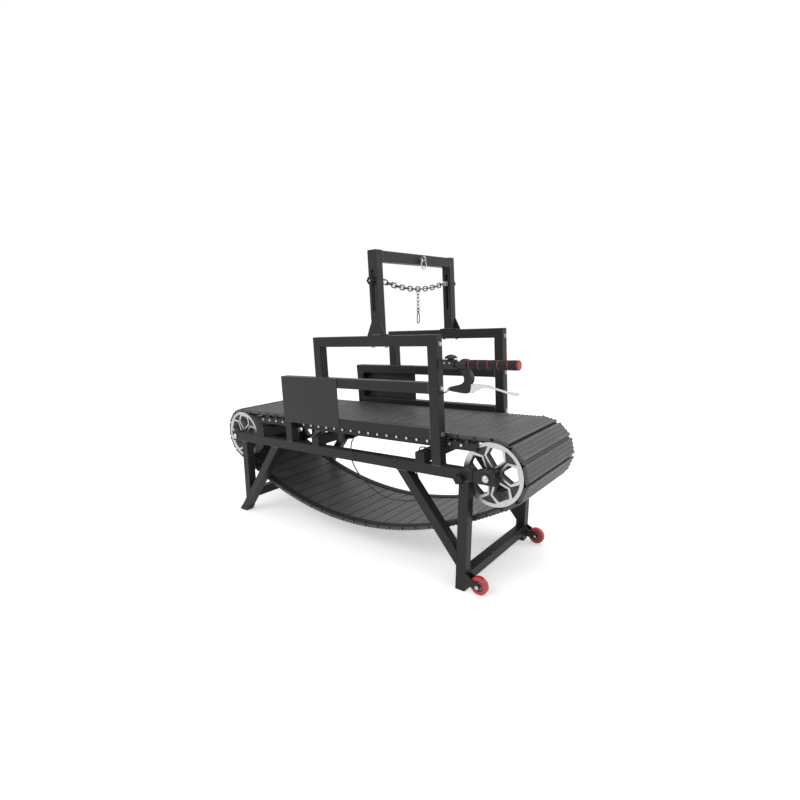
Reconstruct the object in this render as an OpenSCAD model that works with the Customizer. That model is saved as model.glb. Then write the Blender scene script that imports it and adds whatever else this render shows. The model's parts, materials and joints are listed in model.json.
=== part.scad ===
// Dog treadmill with a belt of slats over end wheels, side guards, an arch with a chain, and a hand brake.
// Lengths are in millimetres and angles in degrees. X runs forward, Y to the left and Z up from the floor.
// The right side is the one at negative Y. The sloping parts are drawn in a deck frame, whose origin lies
// on the axle line midway between the axles.

/* [Frame] */
// Outer width across the side tubes
frame_w = 540; // [500:10:620]
// Side of the square frame tube
tube = 40; // [36:1:44]
// Wall of the square frame tube
tube_wall = 2.5; // [2:0.5:3.5]
// Outer corner radius of the square frame tube
tube_corner = 3; // [1:0.5:5]
// Distance between the two axles
axle_span = 1426; // [1300:2:1600]
// Height of the axle line above the floor, midway between the axles
axle_height = 415; // [380:1:450]
// Slope of the deck, front end up
incline = 2.2; // [0:0.1:4]
// How far the lower rails stop short of the front axle
rail_front_gap = 51; // [45:1:60]
// How far the lower rails stop short of the rear axle
rail_rear_gap = 23; // [20:1:40]
// Rear cross tube, ahead of the rear axle
cross_rear_ahead = 215; // [190:5:260]
// Middle cross tube, behind mid-deck
cross_mid_back = 120; // [90:5:150]
// Front cross tube, behind the front face of the guards
cross_front_back = 92; // [85:1:120]
// Depth of the plugs in open tube ends
plug_t = 14; // [8:1:20]

/* [Legs] */
// Foot of the front legs, behind the front axle
front_leg_back = 100; // [80:1:120]
// Lean of the front legs, top forward
front_leg_tilt = 2; // [0:0.5:4]
// Length along the floor that the front braces span
front_brace_run = 258; // [200:2:300]
// Height at which the front braces meet the legs
front_brace_z = 98; // [80:1:140]
// Height of the front cross bar
front_bar_z = 44; // [30:1:60]
// Rear legs, ahead of the rear axle
rear_leg_ahead = 73; // [65:1:90]
// Feet of the rear braces, ahead of the rear axle
rear_foot_ahead = 23; // [10:1:40]
// Length along the floor that the rear braces span
rear_brace_run = 289; // [250:1:320]
// Height of the rear cross bar
rear_bar_z = 108; // [90:1:140]
// Height of the rubber feet
foot_h = 22; // [12:1:26]
// How far the rubber feet stand out round the braces
foot_lip = 2; // [0:0.5:4]

/* [Guards] */
// Front face of the guards, behind the front axle
guard_front_back = 179; // [168:1:193]
// Rear face of the guards, ahead of the rear axle
guard_rear_ahead = 403; // [363:5:453]
// Length of the upper guards
upper_len = 620; // [586:1:654]
// Top of the lower bars above the axle line
lower_bar_top = 152; // [148:1:160]
// Top of the mid rails above the axle line
mid_rail_top = 319; // [290:1:340]
// Top of the top rails above the axle line
top_rail_top = 488; // [460:1:520]
// Seam in the front posts, below the top of the mid rails
seam_drop = 22; // [15:1:30]
// Length of the side plates
plate_len = 348; // [310:1:390]
// Thickness of the side plates
plate_t = 2; // [1:0.5:4]
// Drop of the upper post bolts below the top of the top rails
top_bolt_drop = 33; // [25:1:36]
// Radius of the guard bolts' heads
guard_bolt_r = 8; // [6:0.5:10]

/* [Arch] */
// Middle of the arch posts, behind the front face of the guards
arch_back = 271; // [234:1:334]
// Height of the arch above the top rails
arch_rise = 315; // [300:1:360]
// Width of the slots in the arch posts
slot_w = 14; // [13.5:0.5:16]
// Length of the slots in the arch posts
slot_len = 150; // [140:1:170]
// Top of the slots below the top of the arch
slot_drop = 72; // [65:1:80]
// Chain bolts below the top of the slots
carrier_drop = 39; // [30:1:60]
// Length of the gussets along the rail
gusset_run = 22; // [15:1:30]
// Height of the gussets
gusset_rise = 46; // [30:1:60]
// Thickness of the gussets
gusset_t = 8; // [4:1:12]
// Thickness of the arch's foot plates
sole_t = 5; // [3:1:8]
// Radius of the chain bolts
carrier_r = 6.5; // [5.5:0.1:6.6]
// Place of the eye bolt, left of the middle
eye_y = 12; // [0:1:40]
// Middle radius of the loose ring
ring_r = 17; // [15:1:22]
// Thickness of the ring's wire and the eye's wire
ring_wire = 5; // [4:0.5:5]
// Middle radius of the eyes on the eye bolt and the chain bolts
eye_r = 9; // [8.5:0.5:11]

/* [Chain] */
// Number of links across the arch
chain_links = 16; // [14:2:18]
// Thickness of the chain's wire
chain_wire = 5; // [4:0.5:5]
// Outer width of a link
chain_w = 23; // [21:1:26]
// Sag of the chain
chain_sag = 27; // [15:1:40]
// Number of links in the hanging lead
lead_links = 5; // [3:1:7]
// Thickness of the lead's wire
lead_wire = 2.5; // [2:0.1:3]
// Inner length of a lead link
lead_inner = 15; // [13:1:18]
// Outer width of a lead link
lead_w = 13; // [12:0.5:15]
// Length of the snap hook's oval
hook_len = 44; // [36:1:55]
// Width of the snap hook's oval
hook_w = 19; // [17:0.5:24]
// Thickness of the snap hook's wire
hook_wire = 4; // [3:0.5:5]

/* [Deck] */
// Gap between a slat's ends and the lower rails
slat_side_gap = 15; // [14:0.5:30]
// Gap between neighbouring slats on the straight
slat_gap = 3.5; // [2:0.5:6]
// Thickness of a slat
slat_t = 14; // [12:1:16]
// Number of slats round the belt
slat_count = 54; // [52:1:54]
// Radius of a slat's outer edges
slat_round = 5; // [1:0.5:6]
// Number of grooves along a slat
groove_count = 3; // [0:1:4]
// Radius of a groove's hollow
groove_r = 8; // [5:0.5:10]
// Depth of a groove
groove_d = 2.4; // [0.5:0.1:3]
// Reach of a slat's lip under the next slat
lip_reach = 5; // [3:0.5:6]
// Thickness of a slat's lip
lip_t = 2; // [1.5:0.1:2.5]
// Height of the recess over the next slat's lip
lip_room = 6.5; // [6:0.5:9]
// Width of a belt
belt_w = 32; // [28:1:34]
// Thickness of a belt
belt_t = 3; // [2:0.5:4]
// Outer edge of a belt, in from the slat's end
belt_inset = 1; // [0:0.5:6]
// Gap between the lowest slat and the floor
run_clear = 86; // [75:1:110]

/* [Wheels] */
// Radius of the end wheels
wheel_r = 115.5; // [110:0.5:118]
// Height of the wheels' flanges over the belts' seats
flange_h = 3; // [2:0.5:3]
// Width of the end wheels
wheel_w = 44; // [40:1:48]
// Outer face of the wheels beyond the slats' ends
wheel_proud = 3; // [2:0.5:4]
// Depth of the rim
rim_t = 13; // [10:1:16]
// Thickness of the web between the openings
web_t = 26; // [16:1:32]
// Step from the wheel's face down to its web
web_step = 4; // [2:0.5:6]
// Width of the raised outline round each opening
outline_w = 7; // [5:0.5:8]
// Radius of the hub
hub_r = 24; // [20:1:28]
// Radius of the axles
axle_r = 10; // [8:0.5:12]
// Radius of the dome nuts
nut_r = 13.5; // [12:0.5:16]
// Height of the plain part of the dome nuts
nut_h = 6; // [4:1:10]
// Height of the domes on the dome nuts
dome_h = 7; // [4:0.5:10]
// Front end of the sliding arms beyond the axle
arm_nose = 35; // [30:1:50]
// Height of the sliding arms' heads
arm_head_h = 46; // [40:1:50]
// How far the sliding arms go back to slacken the belts
arm_travel = 12; // [8:1:14]
// Length of the arms inside the rails
arm_hold = 100; // [80:5:140]

/* [Bearings] */
// Number of deck bearings on each side
bearing_count = 24; // [20:1:24]
// Radius of a deck bearing
bearing_r = 16.5; // [14:0.5:17]
// Width of a deck bearing
bearing_w = 12; // [8:1:16]
// Radius of the bearing bolts
bearing_bolt_r = 4; // [3:0.5:5]
// Radius of the heads of the bearing bolts
bearing_head_r = 5.5; // [5:0.5:7]
// First bearing, ahead of the rear axle
bearing_first = 195; // [180:5:230]
// Last bearing, behind the front axle
bearing_last = 113; // [112:1:130]
// Rear end of the bearing rails, ahead of the rear axle
bearing_rail_first = 163; // [150:1:170]
// Front end of the bearing rails, behind the front axle
bearing_rail_last = 53; // [50:1:80]
// Thickness of the bearing rails
bearing_rail_t = 10; // [6:1:10]
// Part of the bearing rails above the bolts
bearing_rail_up = 8; // [7:0.5:9]
// Part of the bearing rails below the bolts
bearing_rail_down = 18; // [12:1:24]
// Radius of the bolt heads
head_r = 7; // [6:0.5:8]
// Height of the bolt heads
head_h = 5; // [4:0.5:6]

/* [Lock knobs] */
// Lock knobs, behind the front end of the lower rails
lock_back = 46; // [40:1:60]
// Lock knobs below the axle line
lock_drop = 13; // [8:0.5:13]
// Radius of the lock knobs over their lobes
lock_r = 18; // [15:0.5:22]
// Depth of the lock knobs
lock_t = 16; // [10:1:22]
// Height of the thin nuts between the lock knobs and the rails
lock_nut_h = 4; // [3:0.5:6]
// Radius of the knobs' studs
stud_r = 4; // [3:0.5:4]

/* [Casters] */
// Radius of the caster wheels
caster_r = 34; // [28:1:36]
// Width of the caster wheels
caster_w = 22; // [18:1:24]
// Caster axles ahead of the front legs' front face
caster_ahead = 51; // [46:1:70]
// Thickness of the fork plates
fork_t = 4; // [3:0.5:5]
// Height of the fork's back plate
fork_h = 42; // [36:1:60]
// Casters' offset to the right of the legs' middle
caster_shift = 3; // [0:1:5]
// Radius of the caster axles
caster_axle_r = 5; // [4:0.5:6]

/* [Handle] */
// Height of the handle above the axle line
handle_z = 385; // [370:1:400]
// Radius of the handle's bar
bar_r = 11; // [9:0.5:12]
// Radius of the foam grip
grip_r = 16.5; // [14:0.5:18]
// Gap between the lever clamp and the grip
grip_gap = 3; // [2:0.5:6]
// Length of the foam grip
grip_len = 177; // [150:1:180]
// Length of the red end cap
cap_len = 4; // [3:0.5:12]
// Number of red rings round the grip
grip_ring_count = 5; // [2:1:6]
// Width of a red ring
grip_ring_w = 2; // [1.5:0.5:5]
// Length of the handle's socket
socket_len = 64; // [50:1:66]
// Side of the handle's socket
socket_w = 31; // [27:1:33]
// Radius of the clamp knob's head
clamp_r = 23; // [18:0.5:26]
// Height of the clamp knob's domed head
clamp_h = 13; // [9:0.5:16]
// Height of the clamp knob's neck
clamp_neck = 5; // [3:0.5:8]
// Clamp knob's axis, behind the front end of the socket
clamp_back = 18; // [8:0.5:24]

/* [Brake lever] */
// Lever clamp, ahead of the guard
lever_ahead = 104; // [100:1:106]
// Room on the bar for the front half of the lever clamp
lever_clamp_room = 12; // [12:0.5:16]
// Wall of the lever clamp round the bar
lever_clamp_wall = 9; // [6:0.5:10]
// Length of the lever body from its cable end to its front
lever_body_len = 96; // [90:1:100]
// Depth of the lever body below the bar
lever_drop = 99; // [92:1:105]
// Thickness of the lever body
lever_t = 20; // [16:1:24]
// Length of the blade ahead of its pivot
blade_len = 176; // [150:1:180]
// Depth of the blade at its pivot end
blade_h = 30; // [24:1:34]
// Thickness of the blade
blade_t = 10; // [6:0.5:12]
// Radius of the lever's pivot pin
pivot_r = 3; // [2.5:0.1:4]

/* [Brake] */
// Place of the rocker's pin along the deck
rocker_x = 0; // [-5:1:5]
// Rocker's pin below the slats
rocker_drop = 64; // [62:0.5:66]
// Radius of the rocker's pin
rocker_pin_r = 5; // [4:0.5:6]
// Thickness of the rocker
rocker_t = 12; // [8:1:14]
// Length of the rocker's cable arm
cable_arm = 56; // [54:1:58]
// Rise of the rocker's cable arm
cable_arm_rise = 18; // [16:1:20]
// Distance from the pin to the middle of the pad
pad_arm = 60; // [50:1:75]
// Length of the brake pad
pad_len = 70; // [50:1:80]
// Width of the brake pad
pad_w = 28; // [20:1:34]
// Thickness of the brake pad
pad_t = 12; // [8:1:16]
// Gap between the pad and the slats at rest
pad_gap = 5; // [4.5:0.1:6]
// Diameter of the brake cable
cable_d = 5; // [4:0.5:6]
// Radius of the cable's holes in the front post
cable_hole_r = 5; // [4:0.5:6]
// Cable's way into the front post, above the cross tubes
cable_in_rise = 12; // [10:0.5:14]
// Cable's way out of the front post, below the post's seam
cable_out_drop = 16; // [14:0.5:20]

/* [Hidden] */
$fn = 48;
// Overrun of every cut
over = 1;
// Gap between bodies that pass each other
run_gap = 0.3;
// Radial clearance of a shaft in its bore
fit_gap = 0.06;
// Radial clearance of a bolt in its hole, and of plugs in tubes
seat_gap = 0.1;
// Room between the wheels and the belts
wheel_gap = 0.5;
// Clearance between the casters and the floor
floor_gap = 0.6;
// Small steps, lips and shoulders
edge = 2;
// Reach of the blocks that trim legs and braces
reach = 2 * axle_span;
// Flats on a rounded corner, and the corners' directions
corner_steps = 4;
dome_steps = 8;
quarter_turns = [[1, 1], [-1, 1], [-1, -1], [1, -1]];
// Thickness of the washers under the guard bolts
washer_t = 1.5;
head_share = 0.6;
lobe_count = 6;
lobe_share = 0.3;
lock_nut_share = 0.45;

side_y = (frame_w - tube) / 2;
inner_y = frame_w / 2 - tube;
outer_y = frame_w / 2;
bore = tube - 2 * tube_wall;
arm = bore - 2 * run_gap;
axle_x = axle_span / 2;
rail_front = axle_x - rail_front_gap;
rail_rear = axle_x - rail_rear_gap;
guard_front = axle_x - guard_front_back;
guard_rear = axle_x - guard_rear_ahead;
upper_rear = upper_len - guard_front;
arch_x = guard_front - arch_back;

// Belt loop: a straight top run, a wrap round each wheel and a hanging return run shaped as a parabola
slat_len = 2 * (inner_y - slat_side_gap);
drum_r = wheel_r - flange_h;
belt_in = drum_r + wheel_gap;
seat_r = belt_in + belt_t;
run_drop = axle_height - run_clear - slat_t;
// Steps in which the belt's and chain's curves are solved
solve_steps = 8;
function leave_angle(n) =
    n == 0 ? 0
    : let (a = leave_angle(n - 1))
        atan(2 * (run_drop - seat_r * cos(a)) / (axle_x + seat_r * sin(a)));
lift = leave_angle(solve_steps);
leave_x = axle_x + seat_r * sin(lift);
leave_z = -seat_r * cos(lift);
belt_sag = run_drop + leave_z;
run_bend = belt_sag / pow(leave_x, 2);
function asinh(v) = ln(v + sqrt(v * v + 1));
function bend_arc(x, c) = x / 2 * sqrt(1 + pow(2 * c * x, 2)) + asinh(2 * c * x) / (4 * c);
function bend_at(s, c, x, n) =
    n == 0 ? x : bend_at(s, c, x - (bend_arc(x, c) - s) / sqrt(1 + pow(2 * c * x, 2)), n - 1);
wrap_len = seat_r * (180 - lift) * PI / 180;
run_len = 2 * bend_arc(leave_x, run_bend);
loop_len = axle_span + 2 * wrap_len + run_len;
slat_pitch = loop_len / slat_count;
slat_w = slat_pitch - slat_gap;
function wrap_pose(x, a) = [x + seat_r * cos(a), seat_r * sin(a), 90 - a];
function run_pose(x) = [x, leave_z - belt_sag + run_bend * x * x, atan2(2 * run_bend * x, -1)];
// Place on the belt's outer face and outward turn about Y, at a distance along the loop
function loop_pose(s) =
    s < axle_span ? [s - axle_x, seat_r, 0]
    : s < axle_span + wrap_len ? wrap_pose(axle_x, 90 - (s - axle_span) / seat_r * 180 / PI)
    : s < axle_span + wrap_len + run_len
        ? run_pose(bend_at(run_len / 2 - (s - axle_span - wrap_len), run_bend, 0, solve_steps))
    : wrap_pose(-axle_x, 90 + (loop_len - s) / seat_r * 180 / PI);
wrap_steps = 32;
run_steps = 40;
belt_stops = concat(
    [0],
    [for (i = [0:wrap_steps]) axle_span + wrap_len * i / wrap_steps],
    [for (i = [1:run_steps - 1]) axle_span + wrap_len + run_len * i / run_steps],
    [for (i = [0:wrap_steps - 1]) axle_span + wrap_len + run_len + wrap_len * i / wrap_steps]);
belt_y = slat_len / 2 - belt_inset - belt_w / 2;

wheel_face = slat_len / 2 + wheel_proud;
flange_t = wheel_proud - wheel_gap;
rim_in = wheel_r - rim_t;
rim_mid = (rim_in + drum_r) / 2;
// Corners of a wheel opening: shares of the radius inside the rim, and turns from the opening's middle
opening_shares = [0.95, 0.7, 0.26, 0.7, 0.95];
opening_turns = [13, 28, 0, -28, -13];
opening_count = 5;
opening_phase = 8.5;
opening = [for (i = [0:len(opening_turns) - 1])
    rim_in * opening_shares[i] * [cos(opening_turns[i]), sin(opening_turns[i])]];
// The raised outline's outer corners run on past the rim's inner edge
outline = [for (p = grown(opening, outline_w)) norm(p) > drum_r - rim_t ? p * wheel_r / norm(p) : p];
spacer_share = 0.7;

bearing_z = belt_in - run_gap - bearing_r;
bearing_pitch = (axle_span - bearing_first - bearing_last) / (bearing_count - 1);
bearing_places = [for (i = [0:bearing_count - 1]) -axle_x + bearing_first + i * bearing_pitch];
post_places = [guard_front - tube / 2, -guard_rear + tube / 2];
function clear_of_posts(x) = min([for (p = post_places) abs(x - p)]) > tube / 2 + bearing_head_r + run_gap;
bearing_rail_in = inner_y - bearing_rail_t;

front_foot_x = axle_x - front_leg_back;
rear_foot_x = -axle_x + rear_foot_ahead;
rear_leg_x = -axle_x + rear_leg_ahead;
function underside(x) = axle_height - tube / 2 / cos(incline) + x * tan(incline);
front_brace_top = front_foot_x - front_brace_run;
front_brace_foot = front_foot_x + front_brace_z * tan(front_leg_tilt);
front_brace_lean = atan2(front_brace_foot - front_brace_top, underside(front_brace_top) - front_brace_z);
rear_brace_lean = atan2(rear_brace_run, underside(rear_foot_x + rear_brace_run));

caster_x = tube / 2 + caster_ahead;
caster_z = (caster_r + floor_gap + caster_x * sin(front_leg_tilt)) / cos(front_leg_tilt);
fork_in = caster_w / 2 + edge;
fork_boss_share = 2;
caster_hub_share = 1.8;
caster_head_share = 1.6;
dish_r_share = 0.6;
dish_d_share = 0.12;

arch_top = top_rail_top + arch_rise;
slot_top = arch_top - slot_drop;
carrier_z = slot_top - carrier_drop;
chain_knob_share = 0.8;
collar_share = 0.25;
sole_bolt_share = 0.6;
sole_bolt_x = tube / 2 + gusset_run * sole_bolt_share;
eye_x = arch_x + tube / 2 + eye_r + ring_wire / 2 + sole_t;
eye_z = arch_top - edge - tube / 2;
carrier_eye_y = inner_y - run_gap - eye_r - ring_wire / 2 - edge;
chain_half = carrier_eye_y - eye_r + (ring_wire + chain_wire) / 2 + run_gap;
chain_bend = chain_sag / pow(chain_half, 2);
chain_arc = 2 * bend_arc(chain_half, chain_bend);
chain_pitch = (chain_arc - run_gap - chain_wire) / chain_links;
chain_inner = chain_pitch + run_gap;
// A link's middle along the chain: distance left of the middle, height from the chain bolts, slope
function link_pose(i) =
    let (y = bend_at((i + 0.5) * chain_pitch - chain_links * chain_pitch / 2, chain_bend, 0, solve_steps))
    [y, chain_bend * y * y - chain_sag, atan(2 * chain_bend * y)];
lead_link = chain_links / 2;
function link_roll(i) = ((i + lead_link + 1) % 2) * 90;
lead_hang = link_pose(lead_link);

bar_len = lever_ahead + lever_clamp_room + grip_gap + grip_len;
grip_start = bar_len - grip_len;
grip_step = grip_len / grip_ring_count;
clamp_x = socket_len - clamp_back;
clamp_neck_share = 0.5;
socket_bolt_r = 3;
socket_bolt_shares = [0.45, 0.77];
lever_x = guard_front + lever_ahead;
pivot_x_share = 0.82;
pivot_z_share = 0.82;
// Outline of the lever body: shares of its length ahead of the cable end and of its depth below the bar
lever_x_shares = [
    0.05, 0.28, 0.49, 0.62, 0.665, 0.64, 0.565, 0.52, 0.52, 0.58, 0.67, 0.76, 0.81, 0.81, 0.8, 0.9,
    0.97, 0.96, 0.89, 0.86, 0.8, 0.6, 0.25, 0.06, 0.02];
lever_z_shares = [
    0.79, 0.735, 0.68, 0.61, 0.51, 0.4, 0.27, 0.1, -0.08, -0.18, -0.205, -0.18, -0.08, 0.06, 0.17, 0.27,
    0.42, 0.56, 0.68, 0.85, 0.975, 0.985, 0.95, 0.92, 0.86];
lever_back_share = 0.69;
lever_tail = lever_x - lever_body_len * lever_back_share;
pivot_x = lever_tail + lever_body_len * pivot_x_share;
pivot_z = handle_z - lever_drop * pivot_z_share;
// Outline of the blade: shares of its length ahead of the pivot and of its depth above the pivot's line
blade_x_shares = [-0.02, 0.05, 0.39, 0.54, 0.78, 1, 0.97, 0.78, 0.52, 0.31, 0.12, 0.02];
blade_z_shares = [0.5, 0.55, 0.45, 0.2, -0.13, -0.27, -0.58, -0.3, 0.06, 0.12, -0.3, -0.5];

slot_back_share = 0.8;
blade_boss_share = 0.3;

rocker_y = belt_y - belt_w / 2 - pad_w / 2 - edge;
rocker_z = seat_r - rocker_drop;
pad_top = seat_r - pad_gap;
rocker_hub_share = 2.2;
rocker_boss_share = 1.8;
rocker_tip_share = 1.6;
bracket_share = 3;

// Route of the brake cable in the deck frame: from the rocker round the rail, through the post, to the lever
cable_seat_share = 0.86;
cable_in_z = tube + tube / 2 + cable_in_rise;
cable_out_z = mid_rail_top - seam_drop - cable_out_drop;
cable_at_rocker = [[0, 0, 0], [1, -17.5, -1], [4, -33.5, -4]];
cable_at_rail = [
    [67, 26, 61], [78, 6, 55], [90, -12, 46], [99, -25, 32], [104, -31, 12], [108, -32, -10],
    [118, -30, -38], [138, -25, -70], [164, -18, -100], [195, -10, -127], [236, 0, -151],
    [274, 7, -160]];
cable_at_bend = [
    [-159, 25, -154], [-134, 28, -136], [-123, 29, -112], [-127, 29, -86], [-138, 29, -60], [-146, 29, -34],
    [-146, 29, -8], [-140, 29, 18], [-132, 28, 40], [-126, 26, 56], [-115, 22, 68], [-68, 5, 72]];
cable_at_entry = [[-24, 0, 0], [-12, 0, 3.2], [-3.2, 0, 12], [0, 0, 24], [0, 0, 60]];
cable_at_exit = [[0, 0, -24], [3.2, 0, -12], [12, 0, -3.2], [24, 0, 0]];
cable_at_lever = [[-22.8, 0, -15.9], [-11.8, 0, -9.4], [-0.8, 0, 0]];
cable_route = concat(
    [for (p = cable_at_rocker)
        [rocker_x + cable_arm, -rocker_y - rocker_t / 2 - run_gap, rocker_z + cable_arm_rise] + p],
    [for (p = cable_at_rail) [0, -side_y, 0] + p],
    [for (p = cable_at_bend) [guard_front, -side_y, 0] + p],
    [for (p = cable_at_entry) [guard_front - tube / 2, -side_y, cable_in_z] + p],
    [for (p = cable_at_exit) [guard_front - tube / 2, -side_y, cable_out_z] + p],
    [for (p = cable_at_lever) [lever_tail, -side_y, handle_z - lever_drop * cable_seat_share] + p]);
cable_sides = 8;
cable_steps = 2;

// Placing
module on_deck() {
    translate([0, 0, axle_height])
        rotate([0, -incline, 0])
            children();
}

module to_left() {
    mirror([0, 1, 0]) children();
}

module both_sides() {
    children();
    to_left() children();
}

module along_y(y, z) {
    translate([0, y, z])
        rotate([-90, 0, 0])
            children();
}

module front_leg_place() {
    translate([front_foot_x, 0, 0])
        rotate([0, front_leg_tilt, 0])
            children();
}

module rear_brace_place() {
    translate([rear_foot_x, 0, 0])
        rotate([0, rear_brace_lean, 0])
            children();
}

// Shapes that repeat
function rounded_square(side, r) = [
    for (i = [0:3])
        for (k = [0:corner_steps])
            let (a = 90 * (i + k / corner_steps), mid = (side / 2 - r) * quarter_turns[i])
            mid + r * [cos(a), sin(a)]];

module bar_x(len, side, r) {
    rotate([90, 0, 90])
        linear_extrude(len)
            polygon(rounded_square(side, r));
}

module block_x(len, side) {
    translate([0, -side / 2, -side / 2])
        cube([len, side, side]);
}

module tube_x(len) {
    difference() {
        bar_x(len, tube, tube_corner);
        translate([-over, 0, 0])
            block_x(len + 2 * over, bore);
    }
}

module tube_y(len) {
    rotate([0, 0, 90])
        translate([-len / 2, 0, 0])
            tube_x(len);
}

module tube_z(len) {
    rotate([0, -90, 0])
        tube_x(len);
}

module above_rails() {
    on_deck()
        translate([-reach / 2, -reach / 2, -tube / 2])
            cube(reach);
}

module below_floor(level) {
    translate([-reach / 2, -reach / 2, level - reach])
        cube(reach);
}

module hex_head(r, h) {
    cylinder(r = r, h = h, $fn = 6);
}

module bolt_head(r) {
    cylinder(r = r + edge / 2, h = washer_t);
    translate([0, 0, washer_t])
        hex_head(r, r * head_share);
}

// A short cylinder with a domed end, rising along Z
module domed(r, plain, rise) {
    ball = (r * r + rise * rise) / (2 * rise);
    half = asin(r / ball);
    turns = [for (k = [dome_steps:-1:0]) half * k / dome_steps];
    arc = [for (a = turns) [ball * sin(a), plain + rise - ball * (1 - cos(a))]];
    rotate_extrude()
        polygon(concat([[0, 0], [r, 0]], arc));
}

module star_knob(r, h) {
    cylinder(r = r * (1 - lobe_share / 2), h = h);
    for (i = [0:lobe_count - 1])
        rotate([0, 0, i * 360 / lobe_count])
            translate([r * (1 - lobe_share), 0, 0])
                cylinder(r = r * lobe_share, h = h);
}

module wire_ring(r, wire) {
    rotate_extrude()
        translate([r, 0])
            circle(d = wire);
}

// A link lying along Y in the plane of X and Y
module link(inner, w, wire) {
    mid = (w - wire) / 2;
    run = (inner + wire) / 2 - mid;
    for (s = [0, 1])
        rotate([0, 0, s * 180])
            translate([0, run, 0]) {
                rotate_extrude(angle = 180)
                    translate([mid, 0])
                        circle(d = wire);
                for (x = [-mid, mid])
                    translate([x, 0, 0])
                        rotate([90, 0, 0])
                            cylinder(d = wire, h = run);
            }
}

// Frame
module lower_rails() {
    color("dimgray")
        on_deck()
            both_sides()
                difference() {
                    translate([-rail_rear, -side_y, 0])
                        tube_x(rail_front + rail_rear);
                    translate([rail_front - lock_back, -side_y, -lock_drop])
                        rotate([90, 0, 0])
                            cylinder(r = stud_r + fit_gap, h = tube);
                }
}

module cross_tubes() {
    color("dimgray")
        on_deck()
            for (x = [-axle_x + cross_rear_ahead, -cross_mid_back, guard_front - cross_front_back])
                translate([x, 0, tube])
                    tube_y(frame_w);
}

module plug_x(len) {
    block_x(len, bore - 2 * seat_gap);
}

module tube_plugs() {
    color("black") {
        on_deck()
            both_sides()
                for (x = [-axle_x + cross_rear_ahead, -cross_mid_back, guard_front - cross_front_back])
                    translate([x, -outer_y, tube])
                        rotate([0, 0, 90])
                            plug_x(plug_t);
        on_deck()
            both_sides() {
                translate([-guard_rear, -side_y, mid_rail_top - tube / 2])
                    plug_x(plug_t);
                translate([arch_x, -side_y, arch_top - plug_t])
                    rotate([0, -90, 0])
                        plug_x(plug_t);
            }
        both_sides()
            difference() {
                front_leg_place()
                    translate([0, -side_y, -plug_t])
                        rotate([0, -90, 0])
                            plug_x(2 * plug_t);
                below_floor(0);
            }
    }
}

module front_legs() {
    color("dimgray")
        both_sides()
            difference() {
                front_leg_place()
                    translate([0, -side_y, -tube])
                        tube_z(axle_height + 2 * tube);
                above_rails();
                below_floor(0);
            }
}

module front_braces() {
    color("dimgray")
        both_sides()
            difference() {
                translate([front_brace_foot, -side_y, front_brace_z])
                    rotate([0, -front_brace_lean, 0])
                        translate([0, 0, -tube])
                            tube_z(reach / 2);
                above_rails();
                front_leg_place()
                    translate([-tube / 2, -reach / 2, -reach / 2])
                        cube(reach);
            }
}

module front_cross_bar() {
    color("dimgray")
        front_leg_place()
            translate([0, 0, front_bar_z])
                tube_y(2 * inner_y);
}

module rear_braces() {
    color("dimgray")
        both_sides()
            difference() {
                rear_brace_place()
                    translate([0, -side_y, -2 * tube])
                        tube_z(reach / 2);
                above_rails();
                below_floor(foot_h);
            }
}

module rear_legs() {
    color("dimgray")
        both_sides()
            difference() {
                translate([rear_leg_x, -side_y, 0])
                    tube_z(axle_height);
                above_rails();
                rear_brace_place()
                    translate([-tube / 2, -reach / 2, -reach / 2])
                        cube(reach);
            }
}

module rear_cross_bar() {
    color("dimgray")
        translate([rear_foot_x + rear_bar_z * tan(rear_brace_lean), 0, rear_bar_z])
            tube_y(2 * inner_y);
}

module rear_feet() {
    side = tube + 2 * foot_lip;
    color("black")
        both_sides()
            intersection() {
                rear_brace_place()
                    translate([0, -side_y, -2 * tube])
                        rotate([0, -90, 0])
                            bar_x(4 * tube, side, tube_corner + foot_lip);
                translate([-reach / 2, -reach / 2, 0])
                    cube([reach, reach, foot_h]);
            }
}

// Guards
module front_post() {
    translate([guard_front - tube / 2, -side_y, tube / 2])
        tube_z(mid_rail_top - seam_drop - tube / 2);
}

// The right post has holes through which the brake cable enters and leaves
module front_post_right() {
    color("dimgray")
        on_deck()
            difference() {
                front_post();
                for (hole = [[tube, cable_in_z], [tube_wall, cable_out_z]])
                    translate([guard_front - hole[0] - over, -side_y, hole[1]])
                        rotate([0, 90, 0])
                            cylinder(r = cable_hole_r, h = tube_wall + 2 * over);
            }
}

module front_post_left() {
    color("dimgray")
        on_deck() to_left() front_post();
}

module rear_posts() {
    color("dimgray")
        on_deck()
            both_sides()
                translate([-guard_rear + tube / 2, -side_y, tube / 2])
                    tube_z(mid_rail_top - tube - tube / 2);
}

module lower_bars() {
    color("dimgray")
        on_deck()
            both_sides()
                translate([-guard_rear + tube, -side_y, lower_bar_top - tube / 2])
                    tube_x(guard_front + guard_rear - 2 * tube);
}

module mid_rails() {
    color("dimgray")
        on_deck()
            both_sides()
                translate([-guard_rear, -side_y, mid_rail_top - tube / 2])
                    tube_x(guard_front + guard_rear - tube);
}

module side_plate() {
    translate([-guard_rear, -outer_y - plate_t, lower_bar_top - tube])
        cube([plate_len, plate_t, mid_rail_top - lower_bar_top + tube]);
}

module side_plate_right() {
    color("dimgray")
        on_deck() side_plate();
}

module side_plate_left() {
    color("dimgray")
        on_deck() to_left() side_plate();
}

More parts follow.
